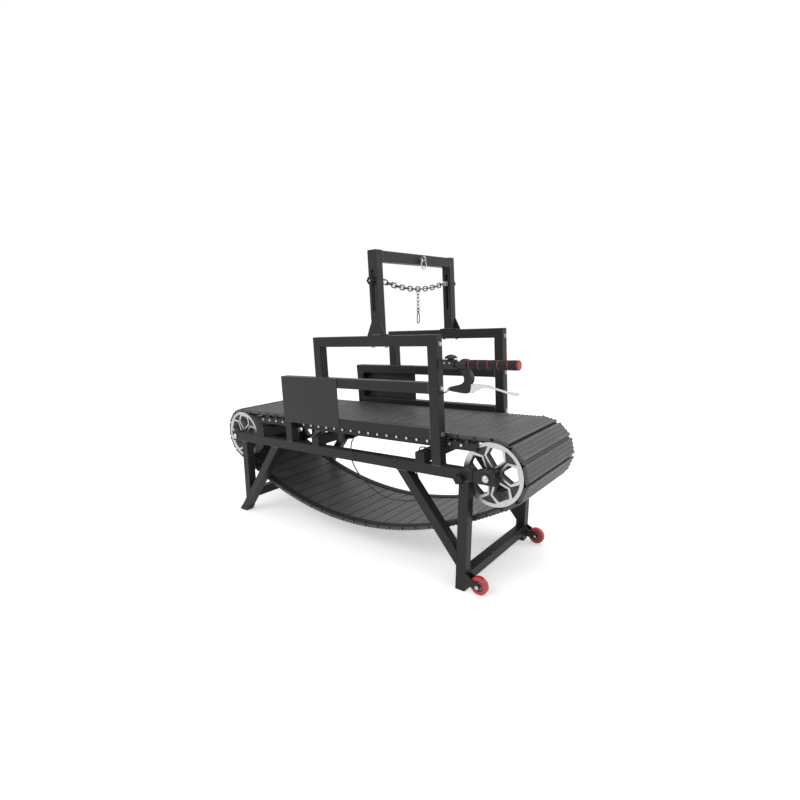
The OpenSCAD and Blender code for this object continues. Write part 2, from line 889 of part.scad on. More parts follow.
module upper_guard() {
    seam = mid_rail_top - seam_drop;
    roof = top_rail_top - tube_wall;
    difference() {
        union() {
            translate([guard_front - tube / 2, -side_y, seam])
                rotate([0, -90, 0])
                    bar_x(top_rail_top - seam, tube, tube_corner);
            translate([-upper_rear + tube / 2, -side_y, mid_rail_top])
                rotate([0, -90, 0])
                    bar_x(top_rail_top - mid_rail_top, tube, tube_corner);
            translate([-upper_rear + tube / 2, -side_y, top_rail_top - tube / 2])
                bar_x(upper_len - tube, tube, tube_corner);
        }
        translate([guard_front - tube_wall - bore, -side_y - bore / 2, seam - over])
            cube([bore, bore, roof - seam + over]);
        translate([-upper_rear + tube_wall, -side_y - bore / 2, mid_rail_top - over])
            cube([bore, bore, roof - mid_rail_top + over]);
        translate([-upper_rear + tube_wall, -side_y - bore / 2, roof - bore])
            cube([upper_len - 2 * tube_wall, bore, bore]);
    }
}

module upper_guard_right() {
    color("dimgray")
        on_deck() upper_guard();
}

module upper_guard_left() {
    color("dimgray")
        on_deck() to_left() upper_guard();
}

module guard_bolts() {
    color("silver")
        on_deck() {
            both_sides() {
                for (z = [lower_bar_top - tube / 2, mid_rail_top - tube / 2, top_rail_top - top_bolt_drop])
                    translate([guard_front, -side_y, z])
                        rotate([0, 90, 0])
                            bolt_head(guard_bolt_r);
                for (x = [-sole_bolt_x, sole_bolt_x])
                    translate([arch_x + x, -side_y, top_rail_top - tube])
                        rotate([180, 0, 0])
                            bolt_head(head_r);
            }
            for (share = socket_bolt_shares)
                translate([guard_front + socket_len * share, -side_y - socket_w / 2, handle_z + bar_r / 2])
                    rotate([90, 0, 0])
                        domed(socket_bolt_r, socket_bolt_r / 2, socket_bolt_r / 2);
        }
}

// Arch
module arch_posts() {
    z = top_rail_top + sole_t;
    color("dimgray")
        on_deck()
            both_sides()
                difference() {
                    union() {
                        translate([arch_x, -side_y, z])
                            tube_z(arch_top - z);
                        translate([arch_x - tube / 2 - gusset_run, -outer_y, top_rail_top])
                            cube([tube + 2 * gusset_run, tube, sole_t]);
                        for (s = [-1, 1])
                            translate([arch_x + s * tube / 2, gusset_t + edge / 2 - outer_y, z])
                                rotate([90, 0, 0])
                                    linear_extrude(gusset_t)
                                        polygon([[-s * edge, 0], [s * gusset_run, 0], [0, gusset_rise],
                                                 [-s * edge, gusset_rise]]);
                    }
                    translate([arch_x - slot_w / 2, -outer_y - over, slot_top - slot_len])
                        cube([slot_w, tube + 2 * over, slot_len]);
                }
}

module arch_bar() {
    color("dimgray")
        on_deck()
            translate([arch_x, 0, eye_z])
                tube_y(2 * inner_y);
}

module eye_bolt() {
    color("silver")
        on_deck()
            translate([0, eye_y, eye_z]) {
                translate([eye_x, 0, 0])
                    rotate([90, 0, 0])
                        wire_ring(eye_r, ring_wire);
                translate([arch_x + tube / 2, 0, 0])
                    rotate([0, 90, 0]) {
                        hex_head(head_r, sole_t);
                        cylinder(d = ring_wire, h = sole_t + ring_wire / 2);
                    }
            }
}

// The ring and the lead hang plumb
module tie_ring() {
    color("silver")
        on_deck()
            translate([eye_x, eye_y, eye_z])
                rotate([0, incline, 0])
                    translate([0, 0, ring_wire + run_gap - eye_r - ring_r])
                        rotate([0, 90, 0])
                            wire_ring(ring_r, ring_wire);
}

module chain_bolt(turn) {
    neck = carrier_eye_y + eye_r + ring_wire / 2 - edge / 2;
    translate([arch_x, 0, carrier_z]) {
        translate([0, -carrier_eye_y, 0])
            rotate([0, turn, 0])
                wire_ring(eye_r, ring_wire);
        along_y(-inner_y + run_gap, 0)
            cylinder(r = tube * collar_share, h = inner_y - run_gap - neck);
        along_y(-outer_y - lock_t, 0)
            cylinder(r = carrier_r, h = outer_y + lock_t - neck);
    }
}

module chain_bolt_right() {
    color("silver")
        on_deck() chain_bolt(90 - link_roll(0));
}

module chain_bolt_left() {
    color("silver")
        on_deck() to_left() chain_bolt(90 - link_roll(chain_links - 1));
}

module chain_knob() {
    translate([arch_x, 0, carrier_z])
        difference() {
            along_y(-outer_y - run_gap - lock_t - edge, 0)
                star_knob(lock_r * chain_knob_share, lock_t + edge);
            along_y(-outer_y - lock_t - run_gap, 0)
                cylinder(r = carrier_r + fit_gap, h = lock_t + tube);
        }
}

module chain_knob_right() {
    color("black")
        on_deck() chain_knob();
}

module chain_knob_left() {
    color("black")
        on_deck() to_left() chain_knob();
}

module chain() {
    color("silver")
        on_deck()
            for (i = [0:chain_links - 1]) {
                pose = link_pose(i);
                translate([arch_x, pose[0], carrier_z + pose[1]])
                    rotate([pose[2], 0, 0])
                        rotate([0, link_roll(i), 0])
                            link(chain_inner, chain_w, chain_wire);
            }
}

// Snap hook hanging from the middle of its eye's top wire
module snap_hook() {
    mid = lead_w / 2;
    barrel = 2 * hook_wire;
    rotate([90, 0, 0]) {
        translate([0, -mid, 0])
            wire_ring(mid, hook_wire);
        translate([0, -2 * mid - barrel - (hook_len - hook_wire) / 2, 0])
            link(hook_len - 2 * hook_wire, hook_w, hook_wire);
        translate([0, -2 * mid - barrel, 0])
            rotate([-90, 0, 0])
                cylinder(r = hook_wire, h = barrel);
    }
}

module lead() {
    step = lead_inner - run_gap;
    half = (lead_inner + lead_wire) / 2;
    top = (chain_wire + lead_wire) / 2 + run_gap;
    last = top - 2 * half - (lead_links - 1) * step;
    color("silver")
        on_deck()
            translate([arch_x, lead_hang[0], carrier_z + lead_hang[1] - (chain_w - chain_wire) / 2])
                rotate([0, incline, 0]) {
                    for (i = [0:lead_links - 1])
                        translate([0, 0, top - half - i * step])
                            rotate([90, 0, (i % 2) * 90])
                                link(lead_inner, lead_w, lead_wire);
                    translate([0, 0, last + (lead_wire + hook_wire) / 2 + run_gap])
                        rotate([0, 0, (lead_links % 2) * 90])
                            snap_hook();
                }
}

// Deck
// A slat's section: rounded outside, with a lip that reaches into a recess under the next slat
module slat_profile() {
    half = slat_w / 2;
    step = 90 / corner_steps;
    flat = half - slat_round;
    rise = slat_t - slat_round;
    edges = [for (k = [0:corner_steps]) slat_round * [cos(step * k), sin(step * k)]];
    lip = half + slat_gap + lip_reach;
    recess = half - slat_gap - lip_reach;
    difference() {
        polygon(concat(
            [[-recess, 0], [lip, 0], [lip, lip_t], [half, lip_t]],
            [for (e = edges) [flat, rise] + e],
            [for (k = [corner_steps:-1:0]) [-flat - edges[k][0], rise + edges[k][1]]],
            [[-half, lip_room], [-recess, lip_room]]));
        for (i = [1:1:groove_count])
            translate([-half + i * slat_w / (groove_count + 1), slat_t - groove_d + groove_r])
                circle(r = groove_r);
    }
}

module slats() {
    color([0.2, 0.2, 0.21])
        on_deck()
            for (i = [0:slat_count - 1]) {
                pose = loop_pose((i + 0.5) * slat_pitch);
                translate([pose[0], 0, pose[1]])
                    rotate([0, pose[2], 0])
                        translate([0, slat_len / 2, seat_gap])
                            rotate([90, 0, 0])
                                linear_extrude(slat_len)
                                    slat_profile();
            }
}

module belts() {
    poses = [for (s = belt_stops) loop_pose(s)];
    outer = [for (p = poses) [p[0], p[1]]];
    inner = [for (p = poses) [p[0] - belt_t * sin(p[2]), p[1] - belt_t * cos(p[2])]];
    n = len(poses);
    rims = [[for (i = [0:n - 1]) i], [for (i = [0:n - 1]) n + i]];
    color([0.1, 0.1, 0.1])
        on_deck()
            both_sides()
                translate([0, -belt_y + belt_w / 2, 0])
                    rotate([90, 0, 0])
                        linear_extrude(belt_w)
                            polygon(concat(outer, inner), rims);
}

module at_bearings() {
    for (x = bearing_places)
        translate([x, 0, bearing_z])
            children();
}

module bearing_rails() {
    len = axle_span - bearing_rail_first - bearing_rail_last;
    color([0.25, 0.25, 0.25])
        on_deck()
            both_sides()
                difference() {
                    translate([-axle_x + bearing_rail_first, -inner_y, bearing_z - bearing_rail_down])
                        cube([len, bearing_rail_t, bearing_rail_up + bearing_rail_down]);
                    at_bearings()
                        along_y(-inner_y - over, 0)
                            cylinder(r = bearing_bolt_r + seat_gap, h = bearing_rail_t + 2 * over);
                }
}

module deck_bearings() {
    color("silver")
        on_deck()
            both_sides()
                at_bearings()
                    along_y(-belt_y - bearing_w / 2, 0)
                        difference() {
                            cylinder(r = bearing_r, h = bearing_w);
                            translate([0, 0, -over])
                                cylinder(r = bearing_bolt_r + seat_gap, h = bearing_w + 2 * over);
                        }
}

module bearing_bolts() {
    color("silver")
        on_deck()
            both_sides() {
                at_bearings() {
                    along_y(-inner_y, 0)
                        cylinder(r = bearing_bolt_r, h = inner_y - belt_y + bearing_w / 2 + head_h + edge);
                    along_y(-bearing_rail_in, 0)
                        cylinder(r = bearing_head_r, h = bearing_rail_in - belt_y - bearing_w / 2);
                    along_y(-belt_y + bearing_w / 2, 0)
                        hex_head(bearing_head_r, head_h);
                }
                for (x = bearing_places)
                    if (clear_of_posts(x))
                        translate([x, 0, bearing_z])
                            along_y(-inner_y - head_h, 0)
                                hex_head(bearing_head_r, head_h);
            }
}

// Wheels, axles and arms
module arms(x0, x1, axle, head0, head1) {
    difference() {
        union() {
            translate([x0, -side_y, 0])
                block_x(x1 - x0, arm);
            translate([head0, -side_y - arm / 2 + run_gap, -arm_head_h / 2])
                cube([head1 - head0, arm - 2 * run_gap, arm_head_h]);
        }
        translate([axle, -outer_y, 0])
            rotate([-90, 0, 0])
                cylinder(r = axle_r + seat_gap, h = tube);
    }
}

module front_arms() {
    color([0.2, 0.2, 0.2])
        on_deck()
            both_sides()
                arms(rail_front - arm_hold, axle_x + arm_nose, axle_x,
                     rail_front + arm_travel + edge, axle_x + arm_nose - run_gap);
}

module rear_arms() {
    color([0.2, 0.2, 0.2])
        on_deck()
            both_sides()
                arms(-axle_x - axle_r - nut_r, -rail_rear + arm_hold, -axle_x,
                     -axle_x - axle_r - nut_r + run_gap, -rail_rear - edge);
}

module axle(x) {
    face = side_y + arm / 2;
    translate([x, 0, 0]) {
        rotate([90, 0, 0])
            cylinder(r = axle_r, h = 2 * face, center = true);
        both_sides() {
            translate([0, -face, 0])
                rotate([90, 0, 0])
                    domed(nut_r, nut_h, dome_h);
            along_y(-side_y + arm / 2, 0)
                cylinder(r = hub_r * spacer_share, h = side_y - arm / 2 - wheel_face - run_gap);
        }
    }
}

module front_axle() {
    color("silver")
        on_deck() axle(axle_x);
}

module rear_axle() {
    color("silver")
        on_deck() axle(-axle_x);
}

function edge_out(p, i) =
    let (e = p[(i + 1) % len(p)] - p[i])
    [e[1], -e[0]] / norm(e);
// An outline with each of its sides moved out
function grown(p, d) = [
    for (i = [0:len(p) - 1])
        let (m = edge_out(p, (i + len(p) - 1) % len(p)), n = edge_out(p, i))
        p[i] + d * (m + n) / (1 + m * n)];

module at_openings() {
    for (i = [0:opening_count - 1])
        rotate([0, 0, -opening_phase + i * 360 / opening_count])
            children();
}

// A wheel with its outer face at Z zero, filling the space above it
module wheel() {
    difference() {
        union() {
            difference() {
                union() {
                    cylinder(r = wheel_r, h = flange_t);
                    translate([0, 0, flange_t / 2])
                        cylinder(r = drum_r, h = wheel_w - flange_t / 2);
                }
                translate([0, 0, -over])
                    cylinder(r = rim_in, h = wheel_w + 2 * over);
            }
            translate([0, 0, web_step])
                cylinder(r = rim_mid, h = web_t);
            intersection() {
                at_openings()
                    linear_extrude(web_step + web_t / 2)
                        polygon(outline);
                cylinder(r = rim_mid, h = wheel_w);
            }
            cylinder(r = hub_r, h = wheel_w);
        }
        difference() {
            at_openings()
                translate([0, 0, -over])
                    linear_extrude(wheel_w + 2 * over)
                        polygon(opening);
            translate([0, 0, -2 * over])
                cylinder(r = hub_r, h = wheel_w + 4 * over);
        }
        translate([0, 0, -over])
            cylinder(r = axle_r + fit_gap, h = wheel_w + 2 * over);
    }
}

module wheel_right(x) {
    color("silver")
        on_deck()
            translate([x, 0, 0])
                along_y(-wheel_face, 0)
                    wheel();
}

module wheel_left(x) {
    color("silver")
        on_deck()
            translate([x, 0, 0])
                to_left()
                    along_y(-wheel_face, 0)
                        wheel();
}

module front_wheel_right() {
    wheel_right(axle_x);
}

module front_wheel_left() {
    wheel_left(axle_x);
}

module rear_wheel_right() {
    wheel_right(-axle_x);
}

module rear_wheel_left() {
    wheel_left(-axle_x);
}

module lock_knob() {
    translate([rail_front - lock_back, 0, -lock_drop]) {
        along_y(-outer_y - run_gap - lock_nut_h - lock_t, 0)
            star_knob(lock_r, lock_t);
        along_y(-outer_y - run_gap - lock_nut_h, 0)
            hex_head(lock_r * lock_nut_share, lock_nut_h);
        along_y(-outer_y - lock_t, 0)
            cylinder(r = stud_r, h = outer_y + lock_t - side_y - arm / 2 - run_gap);
    }
}

module lock_knob_right() {
    color("black")
        on_deck() lock_knob();
}

module lock_knob_left() {
    color("black")
        on_deck() to_left() lock_knob();
}

// Casters, in the frame of the leaning front legs
module at_caster(y) {
    front_leg_place()
        translate([0, y - caster_shift, 0])
            children();
}

module at_casters() {
    for (y = [-side_y, side_y])
        at_caster(y) children();
}

module caster_forks() {
    back = tube / 2;
    boss = caster_axle_r * fork_boss_share;
    top = caster_z - boss + fork_h;
    half = fork_in + fork_t;
    color([0.15, 0.15, 0.15])
        at_casters()
            difference() {
                union() {
                    translate([back, -half, caster_z - boss])
                        cube([fork_t, 2 * half, fork_h]);
                    for (y = [-half, fork_in])
                        translate([0, y, 0]) {
                            translate([0, fork_t, 0])
                                rotate([90, 0, 0])
                                    linear_extrude(fork_t)
                                        polygon([[back, caster_z - boss], [caster_x, caster_z - boss],
                                                 [caster_x, caster_z + boss], [back, top]]);
                            translate([caster_x, 0, caster_z])
                                rotate([-90, 0, 0])
                                    cylinder(r = boss, h = fork_t);
                        }
                }
                translate([caster_x, -tube, caster_z])
                    rotate([-90, 0, 0])
                        cylinder(r = caster_axle_r + seat_gap, h = 2 * tube);
            }
}

module caster_bolts() {
    half = fork_in + fork_t;
    head = caster_axle_r * caster_head_share;
    color("silver")
        for (s = [-1, 1])
            at_caster(s * side_y)
                translate([caster_x, 0, caster_z]) {
                    rotate([90, 0, 0])
                        cylinder(r = caster_axle_r, h = 2 * half, center = true);
                    translate([0, s * half, 0])
                        rotate([-s * 90, 0, 0])
                            hex_head(head, head_h);
                }
}

// Half of the caster's section, mirrored about its middle
function caster_half() =
    let (hub = caster_axle_r * caster_hub_share, dish = caster_r * dish_r_share)
    let (face = caster_w / 2, floor = face - caster_w * dish_d_share)
    [[caster_r, face - 2 * edge], [caster_r - edge, face - edge / 2], [caster_r - 2 * edge, face],
     [dish, face], [dish, floor], [hub, floor], [hub, fork_in - run_gap],
     [caster_axle_r + fit_gap, fork_in - run_gap]];

module caster() {
    half = caster_half();
    n = len(half);
    translate([caster_x, 0, caster_z])
        rotate([90, 0, 0])
            rotate_extrude()
                polygon(concat(half, [for (i = [n - 1:-1:0]) [half[i][0], -half[i][1]]]));
}

module caster_right() {
    color("crimson")
        at_caster(-side_y) caster();
}

module caster_left() {
    color("crimson")
        at_caster(side_y) caster();
}

// Handle
module along_bar(x) {
    translate([guard_front + x, -side_y, handle_z])
        rotate([0, 90, 0])
            children();
}

module handle_socket() {
    color([0.2, 0.2, 0.2])
        on_deck()
            difference() {
                translate([guard_front, -side_y, handle_z])
                    bar_x(socket_len, socket_w, tube_corner);
                along_bar(-over)
                    cylinder(r = bar_r + seat_gap, h = socket_len + 2 * over);
                translate([guard_front + clamp_x, -side_y, handle_z])
                    cylinder(r = stud_r + fit_gap, h = socket_w);
            }
}

module handle_bar() {
    color([0.2, 0.2, 0.2])
        on_deck()
            difference() {
                along_bar(seat_gap)
                    cylinder(r = bar_r, h = bar_len - seat_gap);
                along_bar(-over)
                    cylinder(r = bar_r - tube_wall, h = bar_len + 2 * over);
            }
}

module at_grip_rings() {
    for (i = [0:grip_ring_count - 1])
        along_bar(grip_start + edge + i * grip_step)
            children();
}

module grip_ring(r) {
    difference() {
        cylinder(r = r, h = grip_ring_w);
        translate([0, 0, -over])
            cylinder(r = grip_r - edge / 2, h = grip_ring_w + 2 * over);
    }
}

module handle_grip() {
    color([0.1, 0.1, 0.1])
        on_deck()
            difference() {
                along_bar(grip_start)
                    cylinder(r = grip_r, h = grip_len);
                along_bar(grip_start - over)
                    cylinder(r = bar_r + seat_gap, h = grip_len + 2 * over);
                at_grip_rings() grip_ring(grip_r + over);
            }
}

module grip_rings() {
    color("crimson")
        on_deck() {
            at_grip_rings() grip_ring(grip_r);
            along_bar(bar_len) {
                cylinder(r = grip_r, h = cap_len - edge);
                cylinder(r = grip_r - edge, h = cap_len);
            }
        }
}

module clamp_knob() {
    seat = socket_w / 2 + run_gap;
    color("black")
        on_deck()
            translate([guard_front + clamp_x, -side_y, handle_z]) {
                translate([0, 0, bar_r + run_gap])
                    cylinder(r = stud_r, h = socket_w / 2);
                translate([0, 0, seat])
                    cylinder(r = clamp_r * clamp_neck_share, h = clamp_neck);
                translate([0, 0, seat + clamp_neck])
                    domed(clamp_r, edge, clamp_h - edge);
            }
}

// Brake lever
function curve(a, b, c, d, t) =
    (2 * b + (c - a) * t + (2 * a - 5 * b + 4 * c - d) * t * t + (3 * b - a - 3 * c + d) * t * t * t) / 2;
// A closed outline that runs smoothly through its points
function smooth_loop(p) =
    let (n = len(p))
    [for (i = [0:n - 1])
        for (k = [0:corner_steps - 1])
            curve(p[(i + n - 1) % n], p[i], p[(i + 1) % n], p[(i + 2) % n], k / corner_steps)];

module lever_body() {
    points = [for (i = [0:len(lever_x_shares) - 1])
        [lever_tail + lever_body_len * lever_x_shares[i], handle_z - lever_drop * lever_z_shares[i]]];
    slot = blade_t + 2 * run_gap;
    clamp = bar_r + lever_clamp_wall;
    color([0.17, 0.17, 0.17])
        on_deck() {
            difference() {
                intersection() {
                    translate([0, -side_y + clamp + over, 0])
                        rotate([90, 0, 0])
                            linear_extrude(2 * clamp + 2 * over)
                                polygon(smooth_loop(points));
                    union() {
                        translate([lever_tail - lever_t, -side_y - lever_t / 2, handle_z - 2 * lever_drop])
                            cube([2 * lever_body_len, lever_t, 2 * lever_drop]);
                        along_bar(lever_ahead - lever_body_len)
                            cylinder(r = clamp, h = 2 * lever_body_len);
                    }
                }
                along_bar(lever_ahead - lever_body_len)
                    cylinder(r = bar_r + seat_gap, h = 2 * lever_body_len);
                translate([pivot_x - blade_h * slot_back_share, -side_y - slot / 2, pivot_z - blade_h])
                    cube([2 * blade_h, slot, 2 * blade_h]);
            }
            translate([pivot_x, 0, pivot_z])
                along_y(-side_y - lever_t / 2 - edge, 0)
                    cylinder(r = pivot_r, h = lever_t + 2 * edge);
        }
}

module lever_blade() {
    points = [for (i = [0:len(blade_x_shares) - 1])
        [pivot_x + blade_len * blade_x_shares[i], pivot_z + blade_h * blade_z_shares[i]]];
    color("gainsboro")
        on_deck()
            difference() {
                union() {
                    translate([0, -side_y + blade_t / 2, 0])
                        rotate([90, 0, 0])
                            linear_extrude(blade_t)
                                polygon(smooth_loop(points));
                    translate([pivot_x, 0, pivot_z])
                        along_y(-side_y - blade_t / 2, 0)
                            cylinder(r = blade_h * blade_boss_share, h = blade_t);
                }
                translate([pivot_x, 0, pivot_z])
                    along_y(-side_y - lever_t, 0)
                        cylinder(r = pivot_r + fit_gap, h = 2 * lever_t);
            }
}

// Brake cable: a tube swept along a smooth curve through the route's points
function smooth_route(p) =
    let (n = len(p))
    concat(
        [for (i = [0:n - 2])
            for (k = [0:cable_steps - 1])
                curve(p[max(i - 1, 0)], p[i], p[i + 1], p[min(i + 2, n - 1)], k / cable_steps)],
        [p[n - 1]]);
function heading(p, i) =
    let (d = p[min(i + 1, len(p) - 1)] - p[max(i - 1, 0)])
    d / norm(d);
function carried(side, dir) =
    let (s = side - dir * (side * dir))
    s / norm(s);
function ring_sides(p, i, side) =
    i == len(p) ? [] : let (s = carried(side, heading(p, i))) concat([s], ring_sides(p, i + 1, s));

module swept_tube(p, d, n) {
    last = len(p) - 1;
    across = ring_sides(p, 0, [0, 0, 1]);
    rings = [for (i = [0:last])
        for (k = [0:n - 1])
            let (u = across[i], v = cross(heading(p, i), u), a = 360 * k / n)
            p[i] + d / 2 * (u * cos(a) + v * sin(a))];
    walls = [for (i = [0:last - 1])
        for (k = [0:n - 1])
            let (j = (k + 1) % n)
            each [[(i + 1) * n + j, i * n + j, i * n + k], [(i + 1) * n + k, (i + 1) * n + j, i * n + k]]];
    ends = [for (k = [1:n - 2]) each [[k, k + 1, 0], [last * n + k + 1, last * n + k, last * n]]];
    polyhedron(rings, concat(walls, ends));
}

module brake_cable() {
    color([0.05, 0.05, 0.05])
        on_deck()
            swept_tube(smooth_route(cable_route), cable_d, cable_sides);
}

// Brake under the slats
module brake_bracket() {
    top = bearing_z - bearing_rail_down;
    half = rocker_pin_r * bracket_share;
    boss = rocker_pin_r * rocker_boss_share;
    face = rocker_y + rocker_t / 2 + run_gap;
    back = rocker_y - rocker_t / 2 - run_gap;
    color([0.3, 0.3, 0.3])
        on_deck()
            translate([rocker_x, 0, 0]) {
                translate([-half, -inner_y, rocker_z - half])
                    cube([2 * half, bearing_rail_t, top - rocker_z + half]);
                along_y(-inner_y, rocker_z)
                    cylinder(r = rocker_pin_r, h = inner_y - back + edge);
                along_y(-bearing_rail_in, rocker_z)
                    cylinder(r = boss, h = bearing_rail_in - face);
                along_y(-back, rocker_z)
                    cylinder(r = boss, h = edge);
            }
}

module brake_rocker() {
    hub = rocker_pin_r * rocker_hub_share;
    tip = cable_d * rocker_tip_share;
    seat = pad_top - pad_t - rocker_z;
    rear = pad_arm + pad_len / 2;
    color([0.3, 0.3, 0.3])
        on_deck()
            translate([rocker_x, -rocker_y + rocker_t / 2, rocker_z])
                rotate([90, 0, 0])
                    difference() {
                        union() {
                            cylinder(r = hub, h = rocker_t);
                            translate([cable_arm, cable_arm_rise, 0])
                                cylinder(r = tip, h = rocker_t);
                            linear_extrude(rocker_t)
                                polygon([[0, hub], [0, -hub], [cable_arm, cable_arm_rise - tip],
                                         [cable_arm, cable_arm_rise + tip]]);
                            linear_extrude(rocker_t)
                                polygon([[0, -hub], [hub, 0], [pad_len - rear, seat], [-rear, seat],
                                         [-rear, seat - hub]]);
                        }
                        translate([0, 0, -over])
                            cylinder(r = rocker_pin_r + fit_gap, h = rocker_t + 2 * over);
                    }
}

module brake_pad() {
    color([0.08, 0.08, 0.08])
        on_deck()
            translate([rocker_x - pad_arm - pad_len / 2, -rocker_y - pad_w / 2, pad_top - pad_t])
                cube([pad_len, pad_w, pad_t]);
}

lower_rails();
cross_tubes();
tube_plugs();
front_legs();
front_braces();
front_cross_bar();
rear_legs();
rear_braces();
rear_cross_bar();
rear_feet();
front_post_right();
front_post_left();
rear_posts();
lower_bars();
mid_rails();
side_plate_right();
side_plate_left();
upper_guard_right();
upper_guard_left();
guard_bolts();
arch_posts();
arch_bar();
eye_bolt();
tie_ring();
chain_bolt_right();
chain_bolt_left();
chain_knob_right();
chain_knob_left();
chain();
lead();
slats();
belts();
bearing_rails();
deck_bearings();
bearing_bolts();
front_arms();
front_axle();
rear_arms();
rear_axle();
front_wheel_right();
front_wheel_left();
rear_wheel_right();
rear_wheel_left();
lock_knob_right();
lock_knob_left();
caster_forks();
caster_bolts();
caster_right();
caster_left();
handle_socket();
handle_bar();
handle_grip();
grip_rings();
clamp_knob();
lever_body();
lever_blade();
brake_cable();
brake_bracket();
brake_rocker();
brake_pad();
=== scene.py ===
"""Dog treadmill: finishes, brake cable, foam grip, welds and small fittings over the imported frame."""
import json
import math

import bmesh
import bpy
from bpy.props import FloatProperty, FloatVectorProperty, PointerProperty
from mathutils import Matrix, Vector


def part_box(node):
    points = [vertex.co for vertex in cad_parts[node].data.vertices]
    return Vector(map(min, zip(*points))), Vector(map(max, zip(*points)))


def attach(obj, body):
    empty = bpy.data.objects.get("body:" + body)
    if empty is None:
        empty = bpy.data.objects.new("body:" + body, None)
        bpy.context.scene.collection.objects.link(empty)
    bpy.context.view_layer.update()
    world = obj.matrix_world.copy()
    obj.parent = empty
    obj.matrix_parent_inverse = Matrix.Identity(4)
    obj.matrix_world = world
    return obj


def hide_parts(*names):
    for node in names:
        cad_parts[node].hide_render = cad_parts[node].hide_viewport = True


bl_info = {
    "name": "Dog treadmill",
    "version": (1, 0, 0),
    "blender": (4, 5, 0),
    "location": "View3D > Sidebar > Treadmill",
    "description": "Dresses the packed dog treadmill: paint, metal, slats, grip, brake cable and stage",
    "category": "Object",
}

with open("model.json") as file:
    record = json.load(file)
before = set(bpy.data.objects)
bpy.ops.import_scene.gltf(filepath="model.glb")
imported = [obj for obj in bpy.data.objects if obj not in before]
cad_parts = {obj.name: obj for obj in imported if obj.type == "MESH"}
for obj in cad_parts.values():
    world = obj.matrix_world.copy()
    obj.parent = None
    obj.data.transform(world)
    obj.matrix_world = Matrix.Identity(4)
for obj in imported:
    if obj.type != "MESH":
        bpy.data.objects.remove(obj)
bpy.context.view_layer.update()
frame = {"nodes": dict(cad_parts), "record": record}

# The sloping deck's frame: its origin lies on the axle line, midway between the axles
SLOPE = math.radians(2.2)
AXLE_HEIGHT = 0.415
AXLE_X = 0.713
DECK = Matrix.Translation((0, 0, AXLE_HEIGHT)) @ Matrix.Rotation(-SLOPE, 4, "Y")

# Square tube of the frame, and the middle plane and inner face of its two sides
TUBE = 0.04
HALF_TUBE = TUBE / 2
SIDE_Y = 0.25
INNER_Y = SIDE_Y - HALF_TUBE

# Uprights, bars and cross tubes, by their middles in the deck's frame
FRONT_POST_X = 0.514
REAR_POST_X = -0.29
UPPER_POST_X = -0.066
ARCH_X = 0.263
CROSS_TUBES_X = (-0.498, -0.12, 0.442)
LOWER_BAR_Z = 0.132
MID_RAIL_Z = 0.299
ARCH_BAR_Z = 0.781
# Top of the foot plates that the arch stands on
ARCH_FOOT_Z = 0.493

# Front legs: where they meet the floor, how far up them their cross bar sits, and how they lean
FRONT_FOOT_X = 0.613
FRONT_BAR_RISE = 0.044
FRONT_LEAN = math.radians(2)
# How near a leg's corner lies to the rail's underside to count as its top
TOP_REACH = 0.0001

# End wheels: distances from the middle plane where the raised outlines begin and the walls shine,
# the radii of the hub's edge, and how close the lathe rings are
WHEEL_FACE = (0.2152, 0.2166)
WHEEL_WALL = (0.2075, 0.2105)
WHEEL_HUB = (0.0275, 0.0285)
LATHE_RINGS = 5200.0

# Casters: radii of the scuffed tread, the hub's edge and the two edges of the bearing ring
CASTER_TREAD = (0.0312, 0.0338)
CASTER_HUB = (0.0196, 0.0204)
CASTER_RING_IN = (0.0118, 0.0122)
CASTER_RING_OUT = (0.0140, 0.0136)

# Chain's clamp bolts: their height and the outer face of their knobs
CHAIN_Z = 0.692
CHAIN_KNOB_Y = 0.2883

# Foam grip: its height, its ends along the handle, its radii, and the rings that part it
HANDLE_Z = 0.385
GRIP_START = 0.653
GRIP_END = 0.83
GRIP_RADIUS = 0.0165
GRIP_BORE = 0.0111
GRIP_RING = 0.002
GRIP_RING_COUNT = 5
# How far the foam tucks in at a ring and lies under its radius, its lip, what the lip takes from its swell,
# and the steps of its outline between two rings
GRIP_TUCK = 0.0016
GRIP_SINK = 0.0009
GRIP_LIP = 0.0006
GRIP_EASE = 0.0004
GRIP_STEPS = 8

# Adjuster at the lever: how far back it sits, and the ribs of its knurled end
ADJUSTER_BACK = 0.0112
RIB_START = 0.0115
RIB_PITCH = 0.0006
RIB_COUNT = 10
RIB_RADII = (0.0052, 0.0046)

# Lamps: where each stands, how wide it is, and its share of the key light's power
LAMPS = {
    "key": ((-0.6, -3.2, 3.0), 2.6, 1.0),
    "top": ((0.6, 0.4, 4.2), 3.0, 0.9),
    "rim": ((2.6, 2.4, 2.2), 1.8, 0.35),
}
# Point that the lamps face, and how far the floor reaches
LAMP_AIM = Vector((0, 0, 0.5))
FLOOR_RADIUS = 40

# Colour of dust on painted and moulded parts
DUST = (0.32, 0.31, 0.29)

